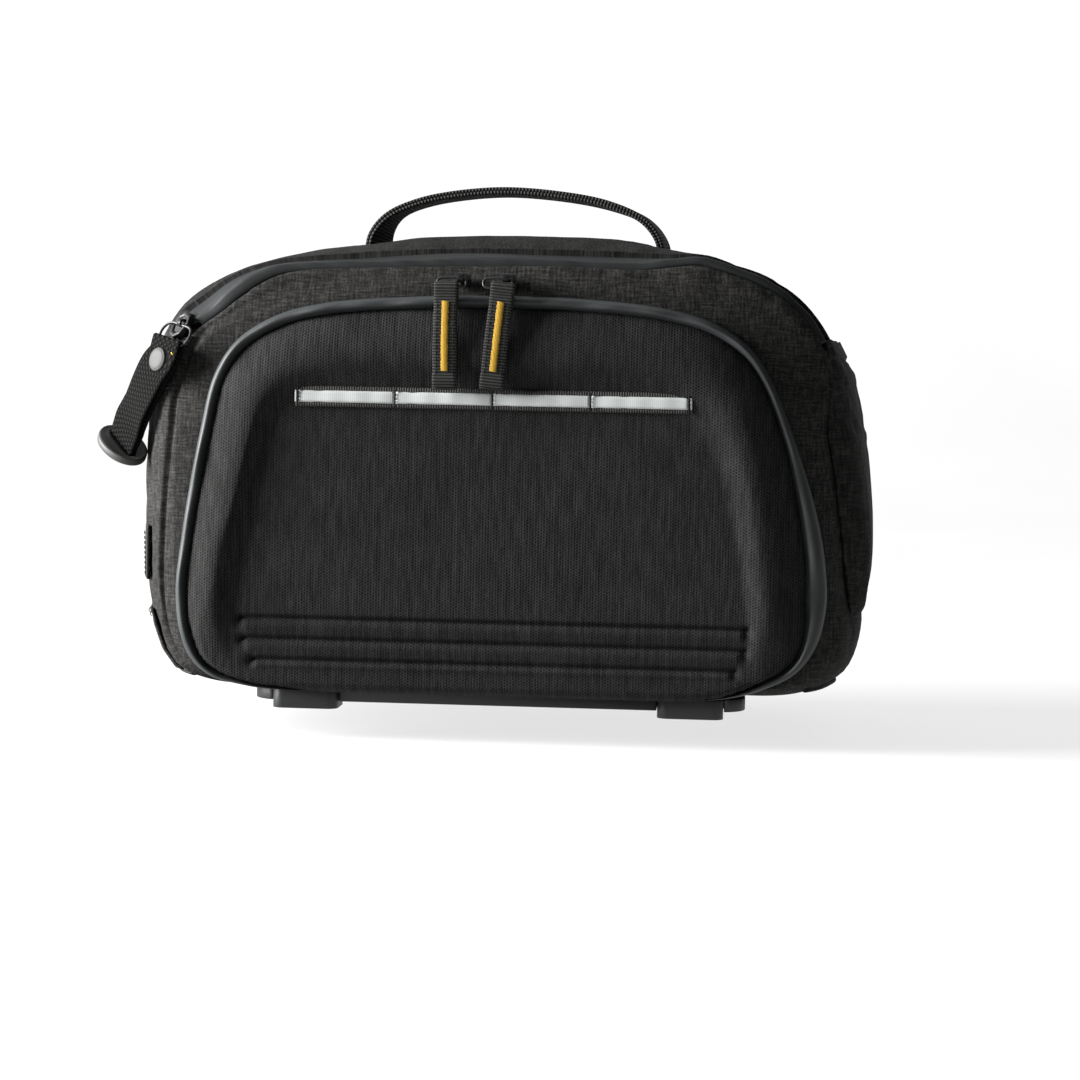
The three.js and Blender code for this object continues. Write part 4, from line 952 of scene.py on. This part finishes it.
def make_band(name, side, node, seed):
    """The coated band round a pocket: a rounded roll, with a flange beside its inner edge."""
    keep = ~((BAND_LOOP[:, 1] < BODY_FLOOR + 9) & (BAND_LOOP[:, 0] > -80) & (BAND_LOOP[:, 0] < 94))
    start = int(np.argmax(keep & ~np.roll(keep, 1)))
    order = [(start + k) % len(keep) for k in range(len(keep)) if keep[(start + k) % len(keep)]]
    outer, inner = BAND_LOOP[order], BAND_INNER[order]
    n = len(order)
    run = np.linspace(0, 1, n)
    ends = smooth(run, 0, 0.03) * smooth(1 - run, 0, 0.03)
    wave = 0.06 * np.sin(run * 83 + seed) + 0.05 * np.sin(run * 171 + 2 * seed)
    section = [
        (-0.14, 0.02), (-0.12, 0.34), (-0.05, 0.52), (0.05, 0.72), (0.16, 0.88), (0.3, 0.98), (0.45, 1.0),
        (0.6, 0.95), (0.75, 0.84), (0.88, 0.66), (0.97, 0.42), (1.02, 0.16), (1.0, 0),
    ]
    grid = np.empty((n, len(section), 3))
    for k, (s, h) in enumerate(section):
        place = inner + (outer - inner) * s
        stand = BAND_STAND * h * (0.25 + 0.75 * ends) * (1 + wave * math.sin(math.pi * min(max(s, 0), 1)))
        grid[:, k] = np.stack([place[:, 0], side * (PANEL_BACK + stand), place[:, 1]], 1)
    faces = grid_faces(n, len(section))
    if side < 0:
        faces = [f[::-1] for f in faces]
    uv = grid_uv(grid)
    return mesh_piece(name, grid.reshape(-1, 3), faces, COATED, [node], uv)


# Reflective webbing

DAISY = dict(start=-92, length=178, lift=142.5, height=9.4)
FIELD_Y = -(PANEL_BACK + FIELD_STAND * PANEL_STAND)


def make_reflective():
    start, length, lift, height = (DAISY[k] for k in ("start", "length", "lift", "height"))
    xs = np.linspace(start, start + length, 180)
    zs = np.linspace(-height / 2, height / 2, 13)
    gx, gz = np.meshgrid(xs, zs)
    flat = np.stack([gx.ravel(), gz.ravel() + lift], 1)
    pull = np.zeros(len(flat))
    tacks = start + 1.5 + np.arange(5) * (length - 3) / 4
    for t in tacks:
        pull += np.exp(-((flat[:, 0] - t) / 1.6) ** 2)
    edge = 1 - smooth(np.abs(flat[:, 1] - lift), height / 2 - 0.8, height / 2)
    out = 0.5 + 1.1 * edge + 0.25 * np.sin(flat[:, 0] / 7) * (1 - pull) - 0.5 * pull
    under = np.stack([flat[:, 0], FIELD_Y - out, flat[:, 1]], 1)
    piece = mesh_piece(
        "daisy_chain", under, [f for f in grid_faces(13, 180)], DAISY_WEB,
        ["daisy_webbing"], flat * MM,
    )
    thicken(piece, 0.8)
    for k in range(4):
        a, b = tacks[k] + 0.45, tacks[k + 1] - 0.45
        bx = np.linspace(a, b, 40)
        bz = np.linspace(-2.65, 2.65, 7)
        rx, rz = np.meshgrid(bx, bz)
        share = (rx.ravel() - a) / (b - a)
        bow = 1.75 + 0.5 * np.sin(math.pi * share) ** 0.5 + 0.1 * np.sin(share * 23 + k)
        bow -= 0.35 * smooth(np.abs(rz.ravel()), 2.1, 2.65)
        points = np.stack([rx.ravel(), FIELD_Y - bow, lift + rz.ravel()], 1)
        ribbon_piece = mesh_piece(
            f"reflective_ribbon_{k + 1}", points, grid_faces(7, 40), RIBBON,
            [f"reflective_strip_{k + 1}"], np.stack([points[:, 0], points[:, 2]], 1) * MM,
        )
        thicken(ribbon_piece, 0.5)
    starts, ends, normals = [], [], []
    for t in tacks:
        for j in range(5):
            z = lift - height / 2 + 0.4 + j * (height - 0.8) / 5
            starts.append([t + 0.15 * (-1) ** j, FIELD_Y - 2.3, z])
            ends.append([t - 0.15 * (-1) ** j, FIELD_Y - 2.3, z + (height - 0.8) / 5 - 0.25])
            normals.append([0, -1, 0])
    p, f, uv = bars(np.array(starts), np.array(ends), np.array(normals, float), 0.4, 0.1)
    mesh_piece("daisy_tacks", p, f, DARK_THREAD, (), uv)
    short = np.array([[start + 0.7, FIELD_Y - 1.9, lift - 2.6], [start + 0.7, FIELD_Y - 1.9, lift + 2.6]])
    for k, x in enumerate((start + 0.55, start + length - 0.55)):
        short[:, 0] = x
        p, f, uv = ribbon(spaced(short, 6), np.tile([1.0, 0, 0], (6, 1)), 0.8, 0.4)
        mesh_piece(f"ribbon_end_{k + 1}", p, f, RIBBON, (), uv)


# Pocket pulls

# Side, places of the tab and of its ring, and the tab's lean in degrees
PULLS = [("left", -24.7, -22.4, 0.6), ("right", 0.6, -1.8, -5)]
TAB_HEAD, TAB_WIDTH = 192, 10.5


def make_pulls():
    eye_y = -(PANEL_BACK + BAND_STAND + GAP + 1.3 + 1.3)
    crest_y = -(PANEL_BACK + PANEL_STAND + GAP + 1.3)
    for side, tab, ring, lean in PULLS:
        tilt = unit(np.array([0, 0.35, 1]))
        rise = 2.45
        centre = np.array([ring, eye_y, TAB_HEAD]) + tilt * rise
        angles = np.linspace(0, 2 * math.pi, 64, endpoint=False)
        wide, high = 6.45, 2.45
        path = np.array([
            centre + np.array([1.0, 0, 0]) * wide * np.sign(math.cos(t)) * abs(math.cos(t)) ** 0.62
            + tilt * high * np.sign(math.sin(t)) * abs(math.sin(t)) ** 0.62
            for t in angles
        ])
        p, f, uv = tube(spaced(path, 72, True), 0.6, 10, True, up=(0, 1, 0.2))
        mesh_piece(f"wire_loop_{side}", p, f, WIRE_METAL, [f"pocket_ring_{side}"], uv)

        # Two layers of webbing, folded round the wire and sewn together below it
        turn = math.radians(lean)
        down = np.array([math.sin(turn), 0, -math.cos(turn)])
        across = np.array([math.cos(turn), 0, math.sin(turn)])
        head = np.array([tab, eye_y, TAB_HEAD])
        route = [
            (6.0, eye_y + 2.6), (1.0, eye_y + 2.2), (-1.6, eye_y + 1.3), (-2.3, eye_y - 0.2),
            (-1.0, eye_y - 1.7), (3, eye_y - 1.9), (12, crest_y - 0.9 + 2.2), (22, crest_y - 0.4),
            (30, crest_y - 0.6), (38, crest_y - 0.9), (44.6, crest_y - 1.4),
        ]
        line = catmull([head + down * d + np.array([0, y - eye_y, 0]) for d, y in route])
        line = spaced(line, 110)
        wide_at = TAB_WIDTH + 0.25 * np.sin(np.linspace(0, 11, 110))
        layers = [ribbon(line, np.tile(across, (110, 1)), wide_at, 1.15, 8)]
        back = [
            (5, eye_y + 1.3), (14, crest_y + 1.9), (24, crest_y + 0.95), (34, crest_y + 0.75),
            (45.4, crest_y + 0.1),
        ]
        back_line = spaced(catmull([head + down * d + np.array([0, y - eye_y, 0]) for d, y in back]), 60)
        layers.append(ribbon(back_line, np.tile(across, (60, 1)), TAB_WIDTH + 0.2, 1.15, 8))
        # A turned end below the stitching
        foot = [(44.4, crest_y - 1.7), (41.5, crest_y - 2.35), (38.6, crest_y - 1.9)]
        fold = spaced(catmull([head + down * d + np.array([0, y - eye_y, 0]) for d, y in foot]), 24)
        layers.append(ribbon(fold, np.tile(across, (24, 1)), TAB_WIDTH + 0.1, 0.8, 8))
        p, f, uv = join(layers)
        mesh_piece(f"webbing_tab_{side}", p, f, TAB_WEB, [f"pocket_tab_{side}"], uv)

        # Satin bar: close rows of thread across the tab
        low, high_d, rows = 6.2, 36.8, 58
        starts, ends = [], []
        for k in range(rows):
            d = low + (high_d - low) * k / (rows - 1)
            y = np.interp(d, [r[0] for r in route[5:]], [r[1] for r in route[5:]]) - 0.85
            spot = head + down * d + np.array([0, y - eye_y, 0])
            jitter = rng.uniform(-0.12, 0.12, 2)
            starts.append(spot - across * (1.6 + jitter[0]))
            ends.append(spot + across * (1.6 + jitter[1]) + down * 0.3)
        p, f, uv = bars(np.array(starts), np.array(ends), np.tile([0.0, -1, 0], (rows, 1)), 0.29, 0.3)
        uv = uv[:, ::-1]
        mesh_piece(f"satin_bar_{side}", p, f, YELLOW, [f"tab_bartack_{side}"], uv)
        # Rows of dark stitches along both edges of the tab
        rows_of = []
        for edge in (-1, 1):
            path = line[38:] + across * edge * (TAB_WIDTH / 2 - 1.5) + np.array([0, -0.6, 0])
            rows_of.append(stitch_line(path, np.tile([0.0, -1, 0], (len(path), 1)), 2.6, 0.7, 0.2, 0.02))
        p, f, uv = join(rows_of)
        mesh_piece(f"tab_stitches_{side}", p, f, DARK_THREAD, (), uv)
        bevel_copy(f"slider_{side}", f"pocket_slider_{side}", 0.00022)


def bevel_copy(name, node, width):
    """A CAD solid with its edges rounded."""
    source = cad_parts[node]
    mesh = source.data.copy()
    piece = bpy.data.objects.new(name, mesh)
    bpy.context.scene.collection.objects.link(piece)
    mesh.materials.clear()
    mesh.materials.append(BLACK_METAL)
    weld = piece.modifiers.new("weld", "WELD")
    weld.merge_threshold = 0.00002
    bevel = piece.modifiers.new("bevel", "BEVEL")
    bevel.width, bevel.segments, bevel.limit_method = width, 2, "ANGLE"
    bevel.angle_limit = math.radians(28)
    bevel.harden_normals = True
    mesh.polygons.foreach_set("use_smooth", [True] * len(mesh.polygons))
    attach(piece, "root")
    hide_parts(node)
    return piece


# Pull strap, with its ring, cap and grip

# Seat of its slider, and the way from there to the strap's head
STRAP_SEAT = (-146.97, -76, 176)
STRAP_HEAD = (-5.5, -10, -10.6)
STRAP_ROUTE = [
    (0, 0, 0), (0.026, 0, 0.08), (0.084, 0.035, 0.15), (0.158, 0.108, 0.265), (0.228, 0.195, 0.385),
    (0.292, 0.286, 0.5), (0.343, 0.352, 0.62),
]
STRAP_WIDE = (0.74, -0.64, -0.16), (0.66, -0.66, -0.36)
RING_WAY = (0.19, 0.47, 0.86)
CAP_DOWN = 8.8


def strap_frame():
    head = np.array(STRAP_SEAT, float) + STRAP_HEAD
    route = [head + 80 * np.array([-o, b, -d]) for o, b, d in STRAP_ROUTE]
    line = spaced(catmull(route), 140)
    way = unit(np.gradient(line, axis=0))
    first, last = (np.array(w) for w in STRAP_WIDE)
    share = np.linspace(0, 1, 140)[:, None]
    wide = unit(first * (1 - share) + last * share)
    wide = unit(wide - way * np.sum(wide * way, 1, keepdims=True))
    normal = np.cross(wide, way)
    normal *= np.sign(-normal[:, 1:2])
    return head, line, way, wide, normal


def make_strap():
    head, line, way, wide, normal = strap_frame()
    # Front layer, over the wire and down the back as the second layer
    share = np.linspace(0, 1, 140)[:, None]
    spread = 0.85 + 1.7 * np.sin(math.pi * np.clip((share - 0.12) / 0.8, 0, 1)) ** 1.5
    front = line + normal * 0.95
    back = line - normal * spread
    top = [head + normal[0] * r[0] - way[0] * r[1] for r in ((1.35, 0.6), (0.9, 1.7), (0, 2.1), (-0.9, 1.7), (-1.35, 0.6))]
    path = np.vstack([front[::-1][:-6], top, back[6:]])
    path = spaced(catmull(path[::3]), 240)
    sides = np.vstack([wide[::-1], wide])
    sides = spaced(np.vstack([sides[::4]]), 240)
    p, f, uv = ribbon(path, sides, 20, 1.5, 16)
    mesh_piece("strap_webbing", p, f, STRAP_WEB, ["pull_strap"], uv)

    # Wire ring: two half circles with straight runs between them
    ring_way = np.array(RING_WAY)
    ring_way = unit(ring_way - wide[0] * np.dot(ring_way, wide[0]))
    centre = head + ring_way * 4.9 + wide[0] * 1.2
    path = []
    for t in np.linspace(-math.pi / 2, 3 * math.pi / 2, 96, endpoint=False):
        c, s = math.cos(t), math.sin(t)
        path.append(centre + wide[0] * (5 * (1 if c >= 0 else -1) + 5.1 * c) + ring_way * 5.1 * s)
    p, f, uv = tube(spaced(np.array(path), 96, True), 0.62, 10, True, up=tuple(normal[0]))
    mesh_piece("strap_wire_loop", p, f, WIRE_METAL, ["main_zip_ring"], uv)
    bevel_copy("strap_slider", "main_zip_slider", 0.0003)
    make_slider_cover()

    # Cap: a shallow dome with a rolled edge
    run = np.linalg.norm(np.diff(line, axis=0), axis=1).sum()
    k = int(140 * CAP_DOWN / run)
    foot = line[k] + normal[k] * 1.75
    profile = [
        (0, 1.5), (1.6, 1.48), (3.0, 1.42), (4.1, 1.28), (4.6, 1.1), (4.75, 0.95), (4.95, 0.95),
        (5.3, 0.75), (5.5, 0.4), (5.45, -0.1),
    ]
    ax, ay = wide[k], np.cross(normal[k], wide[k])
    points, turns = [foot + normal[k] * profile[0][1]], 40
    for r, h in profile[1:]:
        for j in range(turns):
            t = 2 * math.pi * j / turns
            points.append(foot + (ax * math.cos(t) + ay * math.sin(t)) * r + normal[k] * h)
    faces = [(0, 1 + j, 1 + (j + 1) % turns) for j in range(turns)]
    faces += [f[::-1] for f in grid_faces(len(profile) - 1, turns, close_columns=True, start=1)]
    mesh_piece("strap_cap", points, faces, SNAP_METAL, ["strap_rivet"])

    # A yellow stitch where the webbing closes round the wire
    spot = line[8] + normal[8] * 1.8
    ends = np.array([spot + wide[8] * 8.2, spot + wide[8] * 8.6 + way[8] * 0.9])
    p, f, uv = bars(ends[:1] - wide[8] * 1.6, ends[1:], normal[8:9], 0.35, 0.2)
    mesh_piece("strap_thread", p, f, YELLOW, (), uv[:, ::-1])
    make_grip(line[-1], way[-1], wide[-1])


def make_slider_cover():
    """The slider's eight-sided cover, over its body on the zip's tape."""
    line, normals = body_line(-77, 150)
    spots = np.nonzero(line[:, 0] < 0)[0]
    k = spots[np.argmin(np.abs(line[spots, 2] - 172.5))]
    up = unit(line[min(k + 2, len(line) - 1)] - line[k - 2])
    normal = unit(normals[k])
    side = np.cross(up, normal)
    middle = line[k] + normal * 3.2
    six = [(-1, 0.42), (-0.45, 1), (0.55, 1), (1, 0.5), (1, -0.5), (0.55, -1), (-0.45, -1), (-1, -0.42)]
    levels = [(1.0, -0.8), (1.02, 0.9), (0.95, 1.35), (0.8, 1.4), (0.66, 1.15), (0.6, 0.5)]
    points = [
        middle + up * a * r * 6.4 + side * b * r * 4.8 + normal * h for r, h in levels for a, b in six
    ]
    faces = grid_faces(len(levels), len(six), close_columns=True)
    faces.append(tuple((len(levels) - 1) * len(six) + k for k in range(len(six))))
    piece = mesh_piece("strap_slider_cover", points, faces, BLACK_METAL, flat=True)
    bevel = piece.modifiers.new("bevel", "BEVEL")
    bevel.width, bevel.segments = 0.00025, 2


def make_grip(end, way, wide):
    """Oval moulded plate with a rounded rim and a slot for the strap."""
    other = np.cross(way, wide)
    turns = 72
    loops = []
    levels = [
        (0.0, 0.0), (0.0, -0.6), (0.06, -1.0), (0.3, -1.15), (0.6, -1.0), (0.82, -1.35), (0.93, -1.3),
        (0.99, -0.9), (1.0, 0), (0.99, 0.9), (0.93, 1.3), (0.82, 1.35), (0.6, 1.0), (0.3, 1.15),
        (0.06, 1.0), (0.0, 0.6),
    ]
    for s, h in levels:
        ring = []
        for j in range(turns):
            t = 2 * math.pi * j / turns
            c, n = math.cos(t), math.sin(t)
            slot = np.array([
                10.3 * np.sign(c) * abs(c) ** 0.35, 2.0 * np.sign(n) * abs(n) ** 0.35,
            ])
            oval = np.array([14 * c, 11 * n])
            x, y = slot + (oval - slot) * s
            ring.append(end + wide * x + other * y + way * (h * 1.35 - 2.4))
        loops.append(ring)
    grid = np.array(loops)
    faces = grid_faces(len(levels), turns, close_rows=True, close_columns=True)
    mesh_piece("strap_grip_plate", grid.reshape(-1, 3), faces, GRIP, ["strap_grip"])


# Handle, light loop and the sewn layers

HANDLE_ARCH = [
    (-0.97, -0.35), (-0.96, 0.1), (-0.87, 0.5), (-0.67, 0.78), (-0.2, 1), (0.2, 0.97), (0.62, 0.77),
    (0.87, 0.46), (0.98, 0.05), (1, -0.35),
]


def make_handle():
    arch = [(s * 70, 0, BODY_TOP - 2 + r * 24) for s, r in HANDLE_ARCH]
    line = spaced(catmull(arch), 150)
    share = np.linspace(0, 1, 150)
    # The rear foot is twisted a little towards the near side
    angle = 0.36 * (1 - smooth(share, 0.0, 0.2)) + 0.13 * smooth(share, 0.7, 0.86)
    wide = np.stack([np.sin(angle), np.cos(angle), np.zeros(150)], 1)
    width = 25 - 1.5 * np.sin(math.pi * share) + 0.15 * np.sin(share * 60)
    parts = []
    for off in (-0.85, 0.85):
        _, _, normal = frames_along(line, wide)
        parts.append(ribbon(line + normal * off, wide, width - (0.3 if off < 0 else 0), 1.9, 18))
    p, f, uv = join(parts)
    mesh_piece("handle_webbing_piece", p, f, HANDLE_WEB, ["handle"], uv)


def end_path(ys, lift, end, stand):
    """A line across one end of the body at a height, standing off it."""
    xs = end_x(ys, lift, end)
    return np.stack([xs + end * stand, ys, np.broadcast_to(lift, ys.shape)], 1)


def make_light_loop():
    ys = np.linspace(-66, 66, 121)
    a = np.abs(ys) / 66
    stand = 1.1 + 0.9 * smooth(0.86 - a, 0, 0.3)
    stand = stand + 0.35 * np.sin(ys / 9)
    path = end_path(ys, 68.5, -1, stand)
    p, f, uv = ribbon(path, np.tile([0.0, 0, 1], (121, 1)), 25, 1.6, 16)
    mesh_piece("light_loop_webbing", p, f, LOOP_WEB, ["light_loop"], uv)
    threads = []
    for y in (-63.5, -59.5, 59.5, 63.5):
        top, low = (end_path(np.array([y]), z, -1, 2.45)[0] for z in (79, 58))
        out = [-0.95, 0.3 * np.sign(y), 0]
        threads.append(stitch_line(np.array([low, top]), out, 2.2, 0.78, 0.26, 0.03))
    p, f, uv = join(threads)
    mesh_piece("light_loop_stitches", p, f, DARK_THREAD, (), uv)


def end_sheet(name, end, ys, zs, stand, material, replaces, thickness, finish=None, reach=None):
    """A layer of cloth on one end of the body; stand(y, z) is how far it stands off."""
    gy, gz = np.meshgrid(ys, zs)
    if reach:
        gy = gy * reach(gz)
    y, z = gy.ravel(), gz.ravel()
    x = end_x(y, z, end)
    e = 0.5
    dy = (end_x(y + e, z, end) - end_x(y - e, z, end)) / (2 * e)
    dz = (end_x(y, z + e, end) - end_x(y, z - e, end)) / (2 * e)
    normal = unit(np.stack([np.full_like(dy, end), -end * dy, -end * dz], 1))
    points = np.stack([x, y, z], 1) + normal * stand(y, z)[:, None]
    faces = grid_faces(len(zs), len(ys))
    if end < 0:
        faces = [f[::-1] for f in faces]
    if finish:
        points = finish(points, faces, normal, y, z)
    uv = np.stack([gy.ravel(), gz.ravel()], 1) * MM
    piece = mesh_piece(name, points, faces, material, replaces, uv)
    thicken(piece, thickness)
    return piece, points


def make_rear_layers():
    def hem(y, z):
        top = smooth(z, 38.5, 42.8)
        return 0.9 + 0.9 * top + 0.35 * np.sin(y / 8.5 + z / 9) + 0.2 * np.sin(y / 3.7)
    end_sheet(
        "lower_hem_layer", -1, np.linspace(-70, 70, 90), np.linspace(15, 43, 24), hem,
        RIPSTOP_DARK, ["lower_hem_panel"], 1.2,
    )
    ys = np.linspace(-69, 69, 100)
    for z, off in ((39.4, 2.1), (41.2, 2.5)):
        path = end_path(ys, z, -1, off)
        p, f, uv = stitch_line(path, np.tile([-1.0, 0, 0], (100, 1)), 3.0, 0.7, 0.24, 0.05)
        mesh_piece(f"hem_stitches_{int(z)}", p, f, GREY_THREAD, (), uv)

    def patch(y, z):
        return 1.1 + 0.3 * np.sin(z / 5)
    end_sheet(
        "garage_patch", -1, np.linspace(-84.5, -67, 16), np.linspace(144, 168, 18), patch,
        LOOP_WEB, ["zip_garage"], 1.0,
    )
    # Bound seams at both ends of the base
    for name, end, node in (("rear", -1, "base_binding_rear"), ("front", 1, "base_binding_front")):
        ys = np.linspace(-76, 76, 120)
        path = end_path(ys, 14.6, end, 1.2)
        path[:, 2] += 0.4 * np.sin(ys / 11)
        radius = 2.0 + 0.12 * np.sin(ys / 6)
        p, f, uv = tube(path, radius, 14, False, 0.72)
        mesh_piece(f"binding_roll_{name}", p, f, BINDING_WEB, [node], uv)


# End pocket: height, half width, and how far it stands off the body
POCKET_ROWS = [
    (46, 64, 0.4), (56, 68, 2.8), (70, 72, 4.8), (90, 75, 5.4), (110, 77, 5.0), (130, 79, 4.0),
    (150, 79, 2.8), (160, 78, 2.2), (172, 75, 1.4),
]


def make_end_pocket():
    def reach(z):
        return monotone(POCKET_ROWS, 1, z)

    def stand(y, z):
        inner = reach(z) - np.abs(y)
        side = smooth(inner, -2, 15)
        return 0.5 + 0.8 * side * smooth(z, 46, 52) + monotone(POCKET_ROWS, 2, z) * side

    def settle(points, faces, normal, y, z):
        inner = reach(z) - np.abs(y)
        pins = np.where((inner < 1.6) | (z < 48) | ((z > 170) & (inner < 10)), 1.0, 0.0)
        moved = points + 0.4 * (simulate(points, faces, pins, 0, -0.03, 3.0, 16, 12) - points)
        side = smooth(inner, 0.5, 12)
        # Folds from the near seam, gathers along the hem and a soft roll over the belly
        waves = 0.4 * np.sin(y / 4.3 + 0.6 * np.sin(z / 19)) * smooth(z, 70, 168) * side
        waves += 0.6 * np.sin(y / 9.3 + z / 36) * side
        for at, lean, wide, deep in ((138, 0.5, 3.6, 0.8), (118, 0.25, 4.5, 0.7), (96, -0.2, 5.5, 0.6), (154, 0.9, 2.8, 0.5)):
            line = z - at - lean * (np.abs(y) - 70)
            waves -= deep * np.exp(-(line / wide) ** 2) * smooth(np.abs(y), 38, 66) * smooth(inner, 0.2, 3)
        hem = 0.7 * smooth(z, 163.4, 164.2)
        crease = -0.8 * np.exp(-((z - 163.3) / 0.7) ** 2)
        edge = -0.9 * np.exp(-((inner - 2.2) / 0.9) ** 2)
        return moved + normal * (waves + hem + crease + edge)[:, None]

    piece, cloth = end_sheet(
        "end_pocket_cloth", 1, np.linspace(-1, 1, 110), np.linspace(46, 172, 90), stand,
        RIPSTOP_DARK, ["end_pocket"], 1.2, settle, reach,
    )
    across = np.linspace(-60, 60, 90)
    for z in (165.4, 170.2):
        path = end_path(across, z, 1, stand(across, np.full(90, z)) + 0.7)
        p, f, uv = stitch_line(path, np.tile([1.0, 0, 0], (90, 1)), 3.0, 0.7, 0.24, 0.05)
        mesh_piece(f"pocket_hem_stitches_{int(z)}", p, f, GREY_THREAD, (), uv)


def dress_base():
    for node in ("base_panel", "foot_near_left", "foot_near_right", "foot_far_left", "foot_far_right"):
        bevel_base(node)


def bevel_base(node):
    """A base solid with its edges rounded and a moulded finish."""
    piece = bevel_copy(f"{node}_moulding", node, 0.0011 if node != "base_panel" else 0.0014)
    piece.data.materials.clear()
    piece.data.materials.append(BASE)


make_body()
make_main_zip()
make_panel("near_moulding", -1, "side_panel_near")
make_panel("far_moulding", 1, "side_panel_far")
make_band("near_pocket_band", -1, "pocket_zip_band", 1.0)
make_band("far_pocket_band", 1, "far_side_band", 2.3)
make_reflective()
make_pulls()
make_strap()
make_handle()
make_light_loop()
make_rear_layers()
make_end_pocket()
dress_base()


# Studio

def make_stage():
    mesh = bpy.data.meshes.new("floor")
    profile = [(-3.0, 0.0), (1.2, 0.0), (1.7, 0.04), (2.1, 0.18), (2.4, 0.45), (2.55, 0.9), (2.6, 3.2)]
    line = catmull(profile, steps=8)
    points = [(x, y, z) for y, z in line for x in (-4.0, 4.0)]
    faces = [(2 * k, 2 * k + 1, 2 * k + 3, 2 * k + 2) for k in range(len(line) - 1)]
    mesh.from_pydata(points, [], faces)
    mesh.polygons.foreach_set("use_smooth", [True] * len(faces))
    floor = bpy.data.objects.new("floor", mesh)
    bpy.context.scene.collection.objects.link(floor)
    p = Paint("studio_paper", roughness=0.95, specular=0.1)
    p.colour(p.cloud(3, 2.0), [(0.3, (0.14, 0.14, 0.14)), (0.7, (0.16, 0.16, 0.16))])
    p.shader.inputs["Emission Color"].default_value = (1, 1, 1, 1)
    p.shader.inputs["Emission Strength"].default_value = 0.74
    mesh.materials.append(p.material)


def area_light(name, place, target, size, power):
    data = bpy.data.lights.new(name, "AREA")
    data.shape = "RECTANGLE"
    data.size, data.size_y = size
    data.energy = power
    light = bpy.data.objects.new(name, data)
    light.location = place
    way = Vector(target) - Vector(place)
    light.rotation_euler = way.to_track_quat("-Z", "Y").to_euler()
    bpy.context.scene.collection.objects.link(light)


make_stage()
area_light("key", (-1.9, -0.42, 0.72), (0, 0, 0.1), (1.0, 1.0), 290)
area_light("top", (-0.3, -0.6, 2.2), (0, 0, 0.1), (1.8, 1.6), 2)
area_light("paper", (0, 1.2, 2.4), (0, 2.3, 0.4), (3.5, 1.2), 30)
world = bpy.data.worlds.new("world")
bpy.context.scene.world = world
world.use_nodes = True
world.node_tree.nodes["Background"].inputs["Color"].default_value = (1, 1, 1, 1)
world.node_tree.nodes["Background"].inputs["Strength"].default_value = 0.1
bpy.context.scene.view_settings.view_transform = "Standard"
bpy.context.scene.view_settings.look = "None"
